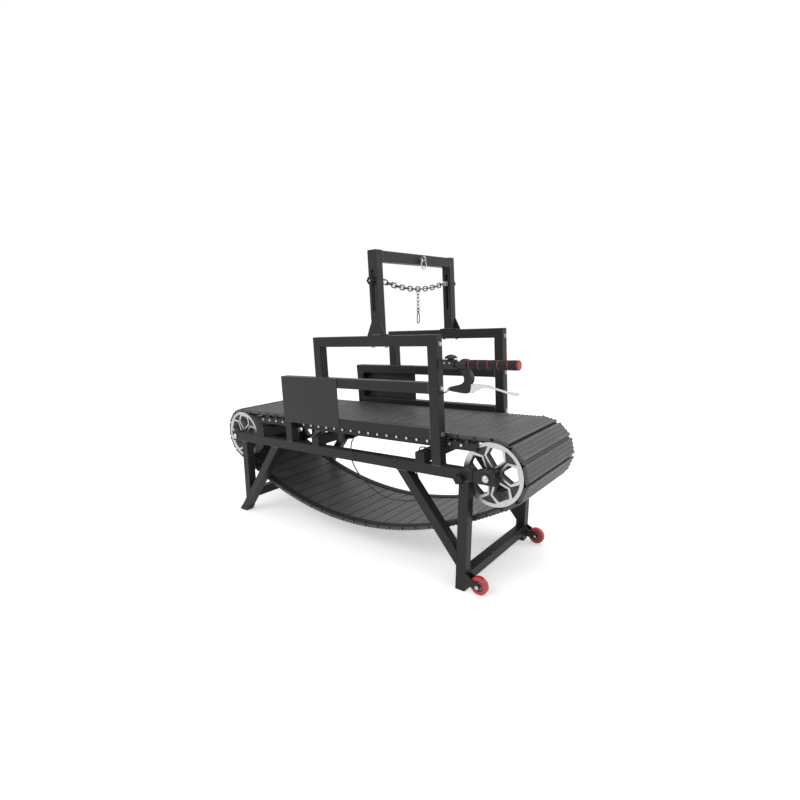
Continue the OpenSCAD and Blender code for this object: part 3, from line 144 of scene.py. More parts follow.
# Route of the brake cable in the deck's frame: from the lever through the post
# and round the rail to the rocker
CABLE_ROUTE = [
    (0.57096, -0.25, 0.29986), (0.55996, -0.25, 0.29046), (0.54896, -0.25, 0.28396), (0.538, -0.25, 0.281),
    (0.526, -0.25, 0.2778), (0.5172, -0.25, 0.269), (0.514, -0.25, 0.257), (0.514, -0.25, 0.132),
    (0.514, -0.25, 0.096), (0.5108, -0.25, 0.084), (0.502, -0.25, 0.0752), (0.49, -0.25, 0.072),
    (0.466, -0.245, 0.072), (0.419, -0.228, 0.068), (0.408, -0.224, 0.056), (0.402, -0.222, 0.04),
    (0.394, -0.221, 0.018), (0.388, -0.221, -0.008), (0.388, -0.221, -0.034), (0.396, -0.221, -0.06),
    (0.407, -0.221, -0.086), (0.411, -0.221, -0.112), (0.4, -0.222, -0.136), (0.375, -0.225, -0.154),
    (0.274, -0.243, -0.16), (0.236, -0.25, -0.151), (0.195, -0.26, -0.127),
    (0.164, -0.268, -0.1), (0.138, -0.275, -0.07), (0.118, -0.28, -0.038), (0.108, -0.282, -0.01),
    (0.104, -0.281, 0.012), (0.099, -0.275, 0.032), (0.09, -0.262, 0.046), (0.078, -0.244, 0.055),
    (0.067, -0.224, 0.061), (0.06, -0.2058, 0.066), (0.057, -0.1898, 0.069), (0.056, -0.1723, 0.07),
]
# Distance between the cable's curve points, and how many times they are evened out
CABLE_SPACING = 0.004
CABLE_EASING = 6
# Holes in the front post: where the cable comes out and goes in, and which way each one faces
CABLE_OUT_Z = 0.281
CABLE_IN_Z = 0.072
CABLE_HOLES = [((FRONT_POST_X + HALF_TUBE, -SIDE_Y, CABLE_OUT_Z), (1, 0, 0)),
               ((FRONT_POST_X - HALF_TUBE, -SIDE_Y, CABLE_IN_Z), (-1, 0, 0))]


def colour(name, text, value):
    """A colour that a user can change."""
    return FloatVectorProperty(
        name=name, description=text, subtype="COLOR", size=3, min=0, max=1, default=value)


def length(name, text, value):
    """A size in metres that a user can change."""
    return FloatProperty(
        name=name, description=text, subtype="DISTANCE", unit="LENGTH", min=0, default=value)


def share(name, text, value):
    """A share from none to all that a user can change."""
    return FloatProperty(name=name, description=text, subtype="FACTOR", min=0, max=1, default=value)


class TREADMILL_PG_stage(bpy.types.PropertyGroup):
    """Camera, floor and lights"""
    camera_place: FloatVectorProperty(
        name="Camera place", description="Where the camera stands, in the deck's frame",
        subtype="XYZ", unit="LENGTH", default=(1.5289, -1.7425, 0.5503))
    camera_yaw: FloatProperty(
        name="Camera yaw", description="Turn of the view to the left of straight across the deck",
        subtype="ANGLE", default=math.radians(38.352))
    camera_pitch: FloatProperty(
        name="Camera pitch", description="Tip of the view below the deck's own level", subtype="ANGLE",
        default=math.radians(9.076))
    camera_roll: FloatProperty(
        name="Camera roll", description="Roll of the view about its own axis", subtype="ANGLE",
        default=math.radians(-2.85))
    lens: FloatProperty(name="Lens", description="Focal length on a 36 mm sensor", default=23.036, min=1)
    floor_colour: colour("Floor", "Colour of the floor", (0.93, 0.93, 0.925))
    floor_glow: share("Floor glow", "How much white the floor adds where the camera sees it", 0.45)
    key_strength: FloatProperty(
        name="Key light", description="Power of the large key light", default=50, min=0)
    sky_strength: FloatProperty(
        name="Sky", description="Strength of the even light from all round", default=0.62, min=0)


class TREADMILL_PG_frame(bpy.types.PropertyGroup):
    """Paint of the frame and its plates"""
    paint: colour("Frame paint", "Colour of the powder coat", (0.0135, 0.0135, 0.014))
    paint_light: colour("Frame paint, light", "Colour of the coat where it is thin", (0.019, 0.019, 0.0195))
    plate: colour("Plate paint", "Colour of the side plates", (0.026, 0.026, 0.026))
    dark_steel: colour("Dark steel", "Colour of coated inner steel", (0.011, 0.011, 0.0115))
    gloss: share("Paint roughness", "Roughness of the powder coat", 0.46)
    bead: length("Weld bead", "Radius of the weld beads", 0.0021)


class TREADMILL_PG_deck(bpy.types.PropertyGroup):
    """Slats, belts and bearings"""
    slat: colour("Slats", "Colour of the slats", (0.060, 0.060, 0.061))
    slat_light: colour("Slats, light", "Colour of scuffed slats", (0.088, 0.088, 0.089))
    belt: colour("Belts", "Colour of the belts", (0.014, 0.014, 0.014))
    bearing: colour("Bearings", "Colour of ground steel", (0.20, 0.205, 0.21))


class TREADMILL_PG_wheels(bpy.types.PropertyGroup):
    """End wheels and casters"""
    rim: colour("Rim", "Colour of the machined rim and outlines", (0.50, 0.505, 0.51))
    web: colour("Web", "Colour of the painted recesses", (0.018, 0.018, 0.019))
    wall: colour("Wall", "Colour of the walls of the openings", (0.20, 0.20, 0.205))
    caster: colour("Casters", "Colour of the caster wheels", (0.60, 0.040, 0.050))
    hub: colour("Caster hub", "Colour of the casters' hub ring", (0.03, 0.028, 0.028))


class TREADMILL_PG_fittings(bpy.types.PropertyGroup):
    """Chain, bolts, knobs, plugs and feet"""
    zinc: colour("Zinc", "Colour of plated bolts", (0.56, 0.565, 0.575))
    chain: colour("Chain", "Colour of the chain", (0.15, 0.15, 0.155))
    knob: colour("Knobs", "Colour of moulded knobs and plugs", (0.006, 0.006, 0.0065))
    rubber: colour("Rubber", "Colour of the feet and the brake pad", (0.016, 0.016, 0.016))
    bolt_end: length("Bolt end", "Radius of the bolt ends in the chain knobs", 0.0034)


class TREADMILL_PG_handle(bpy.types.PropertyGroup):
    """Handle, lever and brake cable"""
    foam: colour("Foam", "Colour of the foam grip", (0.020, 0.019, 0.019))
    ring: colour("Rings", "Colour of the rings and the end cap", (0.45, 0.020, 0.034))
    lever: colour("Lever body", "Colour of the lever's moulded body", (0.010, 0.010, 0.0105))
    blade: colour("Blade", "Colour of the polished blade", (0.60, 0.605, 0.615))
    sheath: colour("Sheath", "Colour of the cable's sheath", (0.012, 0.012, 0.012))
    cable_width: length("Cable", "Diameter of the brake cable", 0.005)
    swell: length("Foam swell", "How far the foam stands out between its rings", 0.0007)


# Meshes
def piece_from(name, bm, body, finish, matrix=None, smooth=True):
    """Turns a bmesh into a piece that rides on a body and has a finish."""
    if matrix is not None:
        bmesh.ops.transform(bm, matrix=matrix, verts=bm.verts)
    bmesh.ops.recalc_face_normals(bm, faces=bm.faces)
    for face in bm.faces:
        face.smooth = smooth
    mesh = bpy.data.meshes.new(name)
    bm.to_mesh(mesh)
    bm.free()
    mesh.materials.append(finish)
    piece = bpy.data.objects.new(name, mesh)
    bpy.context.scene.collection.objects.link(piece)
    if smooth:
        mesh.set_sharp_from_angle(angle=math.radians(38))
    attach(piece, body)
    return piece


def add_turned(bm, profile, start, axis, sides=40):
    """Adds a shape turned about an axis: the profile holds pairs of distance along the axis and radius."""
    axis = Vector(axis).normalized()
    across = axis.orthogonal().normalized()
    third = axis.cross(across)
    rings = []
    for along, radius in profile:
        middle = Vector(start) + axis * along
        if radius < 1e-6:
            rings.append([bm.verts.new(middle)])
            continue
        turns = [2 * math.pi * k / sides for k in range(sides)]
        rings.append([bm.verts.new(middle + radius * (across * math.cos(a) + third * math.sin(a)))
                      for a in turns])
    for one, two in zip(rings, rings[1:]):
        for k in range(sides):
            j = (k + 1) % sides
            corners = [one[k % len(one)], one[j % len(one)], two[j % len(two)], two[k % len(two)]]
            kept = [v for i, v in enumerate(corners) if v not in corners[:i]]
            if len(kept) > 2:
                bm.faces.new(kept)
    for ring in (rings[0], rings[-1]):
        if len(ring) > 2:
            bm.faces.new(ring)


def add_bead(bm, path, radius, closed, sides=8):
    """Adds a weld bead with a slight ripple along a path."""
    count = len(path)
    rings = []
    for i, point in enumerate(path):
        before = path[i - 1] if closed or i else point
        after = path[(i + 1) % count] if closed or i < count - 1 else point
        way = (after - before).normalized()
        across = way.orthogonal().normalized()
        if rings:
            across = (last - way * last.dot(way)).normalized()
        last = across
        third = way.cross(across)
        r = radius * (1 + 0.16 * math.sin(i * 2.1))
        turns = [2 * math.pi * k / sides for k in range(sides)]
        rings.append([bm.verts.new(point + r * (across * math.cos(a) + third * math.sin(a))) for a in turns])
    pairs = list(zip(rings, rings[1:])) + ([(rings[-1], rings[0])] if closed else [])
    for one, two in pairs:
        for k in range(sides):
            j = (k + 1) % sides
            bm.faces.new((one[k], one[j], two[j], two[k]))
    if not closed:
        bm.faces.new(rings[0])
        bm.faces.new(rings[-1])


def loop_path(middle, along, across, half_along, half_across, step=0.003, corner=0.003):
    """Points round a rectangle with rounded corners, which lies in the plane of two directions."""
    along, across = Vector(along).normalized(), Vector(across).normalized()
    corners = [(1, 1), (-1, 1), (-1, -1), (1, -1)]
    path = []
    for i, (sa, sb) in enumerate(corners):
        centre = Vector(middle) + along * sa * (half_along - corner) + across * sb * (half_across - corner)
        for k in range(3):
            a = math.pi / 2 * (i + k / 2)
            path.append(centre + corner * (along * math.cos(a) + across * math.sin(a)))
        na, nb = corners[(i + 1) % 4]
        goal = Vector(middle) + along * na * (half_along - corner) + across * nb * (half_across - corner)
        a = math.pi / 2 * (i + 1)
        goal = goal + corner * (along * math.cos(a) + across * math.sin(a))
        steps = max(2, int((goal - path[-1]).length / step))
        origin = path[-1]
        path += [origin.lerp(goal, n / steps) for n in range(1, steps)]
    return path


def smooth_path(points, spacing, passes):
    """Evenly spaced points on a smooth curve along the given ones, its tight corners eased by some passes."""
    points = [Vector(p) for p in points]
    last = len(points) - 1
    path = []
    for i in range(last):
        a, b, c, d = points[max(i - 1, 0)], points[i], points[i + 1], points[min(i + 2, last)]
        reach = (c - b).length
        leave, arrive = (c - a).normalized() * reach, (d - b).normalized() * reach
        steps = max(1, round(reach / spacing))
        for k in range(steps):
            t = k / steps
            path.append(b + leave * t + (3 * (c - b) - 2 * leave - arrive) * t * t
                        + (2 * (b - c) + leave + arrive) * t * t * t)
    path.append(points[last])
    for _ in range(passes):
        eased = [(a + 2 * b + c) / 4 for a, b, c in zip(path, path[1:], path[2:])]
        path = [path[0]] + eased + [path[-1]]
    return path


# Nodes
def put(tree, kind, sockets=None, **settings):
    """Adds a node, sets its settings, and sets or links its input sockets."""
    made = tree.nodes.new(kind)
    for key, value in settings.items():
        setattr(made, key, value)
    for key, value in (sockets or {}).items():
        if isinstance(value, bpy.types.NodeSocket):
            tree.links.new(value, made.inputs[key])
        else:
            made.inputs[key].default_value = value
    return made


def mixed(tree, factor, one, two):
    """Colour socket that goes from one colour to another with a factor."""
    def full(value):
        return (*value, 1) if not isinstance(value, bpy.types.NodeSocket) and len(value) == 3 else value
    return put(tree, "ShaderNodeMix", {0: factor, 6: full(one), 7: full(two)}, data_type="RGBA").outputs[2]


def ranged(tree, value, low, high, to_low=0.0, to_high=1.0):
    """Value socket that takes one range to another, clamped."""
    return put(tree, "ShaderNodeMapRange", {0: value, 1: low, 2: high, 3: to_low, 4: to_high}).outputs[0]


def sums(tree, operation, one, two):
    """Value socket worked out from two values."""
    return put(tree, "ShaderNodeMath", {0: one, 1: two}, operation=operation).outputs[0]


def unsigned(tree, value):
    """Value socket without its sign."""
    return put(tree, "ShaderNodeMath", {0: value}, operation="ABSOLUTE").outputs[0]


def own_place(tree):
    """Where a point lies on its own object."""
    return put(tree, "ShaderNodeTexCoord").outputs["Object"]


def facing_part(tree, axis):
    """How far a surface faces along one axis."""
    normal = put(tree, "ShaderNodeNewGeometry").outputs["Normal"]
    return put(tree, "ShaderNodeSeparateXYZ", {0: normal}).outputs[axis]


def noise(tree, place, scale, detail, roughness=0.5):
    """Cloudy value socket."""
    sockets = {"Vector": place, "Scale": scale, "Detail": detail, "Roughness": roughness}
    return put(tree, "ShaderNodeTexNoise", sockets).outputs[0]


def shade(tone, factor):
    """A colour made darker or lighter."""
    return [c * factor for c in tone]


def new_group(name, ins, outs):
    """An empty shader node group with named float sockets."""
    tree = bpy.data.node_groups.new(name, "ShaderNodeTree")
    for socket, default in ins.items():
        made = tree.interface.new_socket(socket, in_out="INPUT", socket_type="NodeSocketFloat")
        made.default_value = default
    for socket in outs:
        tree.interface.new_socket(socket, in_out="OUTPUT", socket_type="NodeSocketFloat")
    return tree, tree.nodes.new("NodeGroupInput").outputs, tree.nodes.new("NodeGroupOutput").inputs


def mottle_group():
    """Slow drift of tone over a surface, with a finer speckle."""
    tree, ins, outs = new_group("Mottle", {"Scale": 6.0, "Speckle scale": 180.0}, ["Drift", "Speckle"])
    place = own_place(tree)
    drift = noise(tree, place, ins["Scale"], 5.0)
    speckle = noise(tree, place, ins["Speckle scale"], 3.0)
    tree.links.new(ranged(tree, drift, 0.32, 0.68), outs["Drift"])
    tree.links.new(ranged(tree, speckle, 0.3, 0.7), outs["Speckle"])
    return tree


def peel_group():
    """Fine raised grain, as on powder coat and moulded plastic."""
    tree, ins, outs = new_group("Peel", {"Scale": 500.0}, ["Height"])
    place = own_place(tree)
    coarse = noise(tree, place, ins["Scale"], 2.0)
    cells = put(tree, "ShaderNodeTexVoronoi", {"Vector": place, "Scale": ins["Scale"]}, feature="SMOOTH_F1")
    fine = sums(tree, "MULTIPLY", cells.outputs[0], 0.5)
    tree.links.new(sums(tree, "ADD", coarse, fine), outs["Height"])
    return tree


def scuff_and_highlight_group():
    """Scuffed edges with a painted edge highlight: where the surface turns sharply within a small radius,
    broken up by noise.
    """
    tree, ins, outs = new_group("Edge scuffs and highlights", {"Radius": 0.002, "Breakup": 60.0}, ["Mask"])
    rounded = put(tree, "ShaderNodeBevel", {"Radius": ins["Radius"]}, samples=4).outputs[0]
    plain = put(tree, "ShaderNodeNewGeometry").outputs["Normal"]
    facing = put(tree, "ShaderNodeVectorMath", {0: rounded, 1: plain}, operation="DOT_PRODUCT")
    edge = ranged(tree, facing.outputs["Value"], 0.99, 0.80)
    broken = ranged(tree, noise(tree, own_place(tree), ins["Breakup"], 4.0), 0.42, 0.66)
    tree.links.new(sums(tree, "MULTIPLY", edge, broken), outs["Mask"])
    return tree


def dust_group():
    """Thin dust on faces that look up."""
    tree, ins, outs = new_group("Dust", {"Scale": 22.0}, ["Mask"])
    up = ranged(tree, facing_part(tree, "Z"), 0.55, 0.95)
    patches = ranged(tree, noise(tree, own_place(tree), ins["Scale"], 6.0), 0.35, 0.75)
    tree.links.new(sums(tree, "MULTIPLY", up, patches), outs["Mask"])
    return tree


def crevice_shade_group():
    """Painted shade in grooves and gaps: darker where nearby surfaces shade a place."""
    tree, ins, outs = new_group("Crevice shade", {"Reach": 0.018}, ["Mask"])
    openness = put(
        tree, "ShaderNodeAmbientOcclusion", {"Distance": ins["Reach"]}, samples=8, only_local=True)
    tree.links.new(ranged(tree, openness.outputs["AO"], 0.99, 0.80), outs["Mask"])
    return tree


def streak_group():
    """Long fine lines: brushing on metal, or drawing marks along an extrusion."""
    tree, ins, outs = new_group(
        "Streaks", {"Scale X": 30.0, "Scale Y": 30.0, "Scale Z": 30.0}, ["Lines", "Height"])
    scales = {0: ins["Scale X"], 1: ins["Scale Y"], 2: ins["Scale Z"]}
    sizes = put(tree, "ShaderNodeCombineXYZ", scales).outputs[0]
    spot = put(tree, "ShaderNodeVectorMath", {0: own_place(tree), 1: sizes}, operation="MULTIPLY").outputs[0]
    lines = noise(tree, spot, 1.0, 5.0, 0.6)
    tree.links.new(ranged(tree, lines, 0.3, 0.7), outs["Lines"])
    tree.links.new(lines, outs["Height"])
    return tree


EFFECTS = {"Mottle": mottle_group, "Peel": peel_group, "Edge scuffs and highlights": scuff_and_highlight_group, "Dust": dust_group,
           "Crevice shade": crevice_shade_group, "Streaks": streak_group}


def effect(tree, name, sockets=None):
    """Places an effect's node group in a material, building it the first time."""
    group = bpy.data.node_groups.get(name) or EFFECTS[name]()
    placed = put(tree, "ShaderNodeGroup", node_tree=group)
    for key, value in (sockets or {}).items():
        placed.inputs[key].default_value = value
    return placed.outputs


def new_finish(name, metallic=0.0, specular=0.5, coat=0.0):
    """A material with an empty node tree round its main shader."""
    finish = bpy.data.materials.new(name)
    finish.use_nodes = True
    shader = finish.node_tree.nodes["Principled BSDF"]
    shader.inputs["Metallic"].default_value = metallic
    shader.inputs["Specular IOR Level"].default_value = specular
    shader.inputs["Coat Weight"].default_value = coat
    return finish, finish.node_tree, shader


def raise_surface(tree, shader, height, depth, strength=1.0):
    """Feeds a bump of a given depth to the shader."""
    bump = put(tree, "ShaderNodeBump", {"Height": height, "Distance": depth, "Strength": strength})
    tree.links.new(bump.outputs[0], shader.inputs["Normal"])


def coated(name, tones, rough, grain, edge_scuff_and_highlight=None, dusty=0.0, specular=0.5, drift=6.0):
    """Paint, plastic or rubber: drifting tone, grain in relief, scuffed edges with a painted edge highlight,
    and a little dust.

    tones are two colours, rough a lowest and highest roughness, grain its scale and depth,
    edge_scuff_and_highlight the colour of scuffed edges with their painted highlight and how much of it
    shows, dusty how much dust shows, and drift the scale of the slow tone.
    """
    finish, tree, shader = new_finish(name, specular=specular)
    mottle = effect(tree, "Mottle", {"Scale": drift})
    tone = mixed(tree, mottle["Drift"], tones[0], tones[1])
    tone = mixed(tree, sums(tree, "MULTIPLY", mottle["Speckle"], 0.25), tone, tones[1])
    roughness = ranged(tree, mottle["Speckle"], 0.0, 1.0, rough[0], rough[1])
    # Lighter edges: partly scuffed coat, partly a painted edge highlight
    if edge_scuff_and_highlight:
        mask = sums(tree, "MULTIPLY", effect(tree, "Edge scuffs and highlights")["Mask"], edge_scuff_and_highlight[1])
        tone = mixed(tree, mask, tone, edge_scuff_and_highlight[0])
    if dusty:
        mask = sums(tree, "MULTIPLY", effect(tree, "Dust")["Mask"], dusty)
        tone = mixed(tree, mask, tone, DUST)
        roughness = sums(tree, "ADD", roughness, sums(tree, "MULTIPLY", mask, 0.4))
    tree.links.new(tone, shader.inputs["Base Color"])
    tree.links.new(roughness, shader.inputs["Roughness"])
    raise_surface(tree, shader, effect(tree, "Peel", {"Scale": grain[0]})["Height"], grain[1])
    return finish


def metal(name, tone, rough, lines, depth=0.00004, dirt=0.25):
    """Bare or plated metal with fine lines, and dirt that drifts over it."""
    finish, tree, shader = new_finish(name, metallic=1.0)
    streaks = effect(tree, "Streaks", {"Scale X": lines[0], "Scale Y": lines[1], "Scale Z": lines[2]})
    mottle = effect(tree, "Mottle", {"Scale": 14.0})
    dull = shade(tone, 1 - dirt)
    base = mixed(tree, streaks["Lines"], dull, tone)
    base = mixed(tree, sums(tree, "MULTIPLY", mottle["Drift"], 0.35), base, dull)
    tree.links.new(base, shader.inputs["Base Color"])
    tree.links.new(ranged(tree, streaks["Lines"], 0.0, 1.0, rough[1], rough[0]), shader.inputs["Roughness"])
    raise_surface(tree, shader, streaks["Height"], depth)
    return finish


def radius_from(tree, centre):
    """Distance from an axle that runs across the deck, and the place's distance from the middle plane."""
    place = own_place(tree)
    offset = put(tree, "ShaderNodeVectorMath", {0: place, 1: centre}, operation="SUBTRACT").outputs[0]
    flat = put(tree, "ShaderNodeVectorMath", {0: offset, 1: (1, 0, 1)}, operation="MULTIPLY").outputs[0]
    radius = put(tree, "ShaderNodeVectorMath", {0: flat}, operation="LENGTH").outputs["Value"]
    side = put(tree, "ShaderNodeSeparateXYZ", {0: place}).outputs["Y"]
    return radius, unsigned(tree, side)


def wheel_alloy(name, centre, looks):
    """End wheel: machined rim and outlines with lathe rings, painted recesses, grey walls in the openings."""
    finish, tree, shader = new_finish(name)
    radius, side = radius_from(tree, centre)
    wall = ranged(tree, unsigned(tree, facing_part(tree, "Y")), 0.6, 0.3)
    raised = sums(tree, "MULTIPLY", ranged(tree, side, *WHEEL_FACE), ranged(tree, radius, *WHEEL_HUB))
    shine = sums(tree, "MULTIPLY", wall, ranged(tree, side, *WHEEL_WALL, 0.0, 0.55))
    bare = sums(tree, "MAXIMUM", raised, shine)
    turns = sums(tree, "MULTIPLY", radius, LATHE_RINGS)
    rings = put(tree, "ShaderNodeMath", {0: turns}, operation="SINE").outputs[0]
    mottle = effect(tree, "Mottle", {"Scale": 18.0})
    bright = mixed(tree, ranged(tree, rings, -1.0, 1.0, 0.0, 0.22), looks.rim, shade(looks.rim, 0.72))
    bright = mixed(tree, sums(tree, "MULTIPLY", mottle["Drift"], 0.3), bright, shade(looks.rim, 0.7))
    dark = mixed(tree, mottle["Drift"], looks.web, shade(looks.web, 1.5))
    tone = mixed(tree, bare, mixed(tree, wall, dark, looks.wall), bright)
    tree.links.new(tone, shader.inputs["Base Color"])
    tree.links.new(bare, shader.inputs["Metallic"])
    rough = ranged(tree, mottle["Speckle"], 0.0, 1.0, 0.28, 0.40)
    rough = sums(tree, "ADD", rough, ranged(tree, bare, 0.0, 1.0, 0.14, 0.0))
    tree.links.new(rough, shader.inputs["Roughness"])
    raise_surface(tree, shader, sums(tree, "MULTIPLY", rings, raised), 0.00003)
    return finish


def caster_plastic(name, centre, looks):
    """Caster: glossy tread with a dark hub and a pale bearing ring in it."""
    finish, tree, shader = new_finish(name, specular=0.5, coat=0.15)
    radius, _ = radius_from(tree, centre)
    mottle = effect(tree, "Mottle", {"Scale": 30.0})
    red = mixed(tree, mottle["Drift"], looks.caster, shade(looks.caster, 0.82))
    scuffed = ranged(tree, mottle["Speckle"], 0.4, 1.0)
    scuffed = sums(tree, "MULTIPLY", ranged(tree, radius, *CASTER_TREAD), scuffed)
    red = mixed(tree, sums(tree, "MULTIPLY", scuffed, 0.35), red, (0.32, 0.10, 0.10))
    tone = mixed(tree, ranged(tree, radius, *CASTER_HUB), looks.hub, red)
    edges = [ranged(tree, radius, *edge) for edge in (CASTER_RING_IN, CASTER_RING_OUT)]
    ring = sums(tree, "MULTIPLY", *edges)
    tone = mixed(tree, ring, tone, (0.42, 0.42, 0.43))
    tree.links.new(tone, shader.inputs["Base Color"])
    tree.links.new(ranged(tree, mottle["Speckle"], 0.0, 1.0, 0.30, 0.42), shader.inputs["Roughness"])
    raise_surface(tree, shader, effect(tree, "Peel", {"Scale": 900.0})["Height"], 0.00005)
    return finish


def slat_plastic(looks):
    """Extruded slats: drawing marks along their length, tone that differs along the belt, scuffs with painted
    edge highlights, painted shade on end faces and in grooves, and dust.
    """
    finish, tree, shader = new_finish("slat_plastic", specular=0.45)
    streaks = effect(tree, "Streaks", {"Scale X": 420.0, "Scale Y": 5.0, "Scale Z": 420.0})
    mottle = effect(tree, "Mottle", {"Scale": 9.0, "Speckle scale": 260.0})
    tone = mixed(tree, mottle["Drift"], looks.slat, looks.slat_light)
    tone = mixed(tree, sums(tree, "MULTIPLY", streaks["Lines"], 0.35), tone, shade(looks.slat, 0.72))
    # Light grey sharp edges: scuffed plastic and a painted edge highlight
    scuff_and_highlight_mask = sums(tree, "MULTIPLY", effect(tree, "Edge scuffs and highlights", {"Radius": 0.0016})["Mask"], 0.55)
    tone = mixed(tree, scuff_and_highlight_mask, tone, (0.24, 0.24, 0.24))
    # Painted shade on the slats' end faces: faces turned across the deck are darkened
    end = ranged(tree, unsigned(tree, facing_part(tree, "Y")), 0.6, 0.9, 0.0, 0.35)
    tone = mixed(tree, end, tone, shade(looks.slat, 0.3))
    # Painted shade in the slats' grooves and the gaps between them
    tone = mixed(tree, effect(tree, "Crevice shade")["Mask"], tone, shade(looks.slat, 0.22))
    tone = mixed(tree, sums(tree, "MULTIPLY", effect(tree, "Dust")["Mask"], 0.10), tone, (0.34, 0.33, 0.31))
    tree.links.new(tone, shader.inputs["Base Color"])
    tree.links.new(ranged(tree, streaks["Lines"], 0.0, 1.0, 0.36, 0.52), shader.inputs["Roughness"])
    raise_surface(tree, shader, streaks["Height"], 0.00012)
    return finish


def woven_rubber(looks):
    """Belts: rubber with a fine woven face."""
    finish, tree, shader = new_finish("belt_rubber", specular=0.35)
    place = own_place(tree)
    waves = [put(tree, "ShaderNodeTexWave", {"Vector": place, "Scale": 180.0, "Distortion": 0.6},
                 bands_direction=way).outputs["Fac"] for way in ("X", "Y")]
    weave = sums(tree, "MULTIPLY", waves[0], waves[1])
    mottle = effect(tree, "Mottle", {"Scale": 10.0})
    tone = mixed(tree, mottle["Drift"], looks.belt, shade(looks.belt, 1.8))
    tree.links.new(mixed(tree, sums(tree, "MULTIPLY", weave, 0.4), tone, shade(looks.belt, 2.2)),
                   shader.inputs["Base Color"])
    tree.links.new(ranged(tree, weave, 0.0, 1.0, 0.75, 0.6), shader.inputs["Roughness"])
    raise_surface(tree, shader, weave, 0.0002)
    return finish


def foam(looks):
    """Grip foam: open pores and a dry, matt face."""
    finish, tree, shader = new_finish("grip_foam", specular=0.3)
    pores = put(tree, "ShaderNodeTexVoronoi", {"Vector": own_place(tree), "Scale": 1100.0}).outputs[0]
    mottle = effect(tree, "Mottle", {"Scale": 40.0, "Speckle scale": 500.0})
    tone = mixed(tree, mottle["Drift"], looks.foam, shade(looks.foam, 1.7))
    tree.links.new(mixed(tree, ranged(tree, pores, 0.2, 0.6, 0.0, 0.5), shade(looks.foam, 0.5), tone),
                   shader.inputs["Base Color"])
    tree.links.new(ranged(tree, mottle["Speckle"], 0.0, 1.0, 0.72, 0.9), shader.inputs["Roughness"])
    raise_surface(tree, shader, pores, 0.00035)
    return finish


def dress(slot, finish, nodes=None):
    """Gives a finish to every solid of a material slot, or to some of them."""
    for part in frame["record"]["subparts"]:
        if part["material_slot"] == slot and (nodes is None or part["node"] in nodes):
            mesh = frame["nodes"][part["node"]].data
            mesh.materials.clear()
            mesh.materials.append(finish)


def finish_named(name):
    """A finish that an earlier operator made."""
    finish = bpy.data.materials.get(name)
    if finish is None:
        raise RuntimeError("the finish %s isn't there yet" % name)
    return finish


def seen_ray(tree):
    """One where the camera sees a surface directly, mirrored or through glass."""
    path = put(tree, "ShaderNodeLightPath").outputs
    direct = sums(tree, "MAXIMUM", path["Is Camera Ray"], path["Is Glossy Ray"])
    return sums(tree, "MAXIMUM", direct, path["Is Transmission Ray"])


class TREADMILL_OT_stage(bpy.types.Operator):
    """Sets the camera, the pale floor, the soft lights and the white surroundings"""
    bl_idname = "treadmill.stage"
    bl_label = "Stage"

    def execute(self, context):
        scene, looks = context.scene, context.scene.treadmill_stage
        scene.view_settings.view_transform = "Standard"
        self.add_camera(scene, looks)
        self.add_floor(scene, looks)
        self.add_lights(scene, looks)
        return {"FINISHED"}

    def add_camera(self, scene, looks):
        yaw, pitch, roll = looks.camera_yaw, looks.camera_pitch, looks.camera_roll
        ahead = Vector((-math.sin(yaw) * math.cos(pitch), math.cos(yaw) * math.cos(pitch), -math.sin(pitch)))
        right = Vector((math.cos(yaw), math.sin(yaw), 0))
        up = right.cross(ahead)
        across = right * math.cos(roll) + up * math.sin(roll)
        up = up * math.cos(roll) - right * math.sin(roll)
        slope = DECK.to_3x3()
        turn = Matrix((slope @ across, slope @ up, slope @ -ahead)).transposed()
        data = bpy.data.cameras.new("camera")
        data.sensor_width = 36
        data.lens = looks.lens
        data.clip_start = 0.05
        camera = bpy.data.objects.new("camera", data)
        camera.matrix_world = Matrix.Translation(DECK @ Vector(looks.camera_place)) @ turn.to_4x4()
        scene.collection.objects.link(camera)
        scene.camera = camera

    def add_floor(self, scene, looks):
        finish, tree, shader = new_finish("floor", specular=0.1)
        mottle = effect(tree, "Mottle", {"Scale": 0.7})
        tone = mixed(tree, mottle["Drift"], looks.floor_colour, shade(looks.floor_colour, 0.99))
        tree.links.new(tone, shader.inputs["Base Color"])
        shader.inputs["Roughness"].default_value = 0.9
        glow = put(tree, "ShaderNodeEmission", {"Color": (1, 1, 1, 1), "Strength": looks.floor_glow})
        lit = put(tree, "ShaderNodeMixShader", {0: seen_ray(tree), 2: glow.outputs[0]})
        whole = put(tree, "ShaderNodeAddShader", {0: shader.outputs[0], 1: lit.outputs[0]})
        tree.links.new(whole.outputs[0], tree.nodes["Material Output"].inputs["Surface"])
        bm = bmesh.new()
        bmesh.ops.create_circle(bm, cap_ends=True, radius=FLOOR_RADIUS, segments=96)
        mesh = bpy.data.meshes.new("floor")
        bm.to_mesh(mesh)
        bm.free()
        mesh.materials.append(finish)
        floor = bpy.data.objects.new("floor", mesh)
        scene.collection.objects.link(floor)

    def add_lights(self, scene, looks):
        world = bpy.data.worlds.new("surroundings")
        scene.world = world
        world.use_nodes = True
        tree = world.node_tree
        tree.nodes.clear()
        light = put(tree, "ShaderNodeBackground", {"Color": (1, 1, 1, 1), "Strength": looks.sky_strength})
        white = put(tree, "ShaderNodeBackground", {"Color": (1, 1, 1, 1), "Strength": 1.0})
        mix = put(tree, "ShaderNodeMixShader", {0: seen_ray(tree), 1: light.outputs[0], 2: white.outputs[0]})
        put(tree, "ShaderNodeOutputWorld", {"Surface": mix.outputs[0]})
        for name, (place, size, power_share) in LAMPS.items():
            data = bpy.data.lights.new(name, "AREA")
            data.shape = "DISK"
            data.size = size
            data.energy = looks.key_strength * power_share
            lamp = bpy.data.objects.new(name, data)
            lamp.location = place
            lamp.rotation_euler = (LAMP_AIM - Vector(place)).to_track_quat("-Z", "Y").to_euler()
            scene.collection.objects.link(lamp)


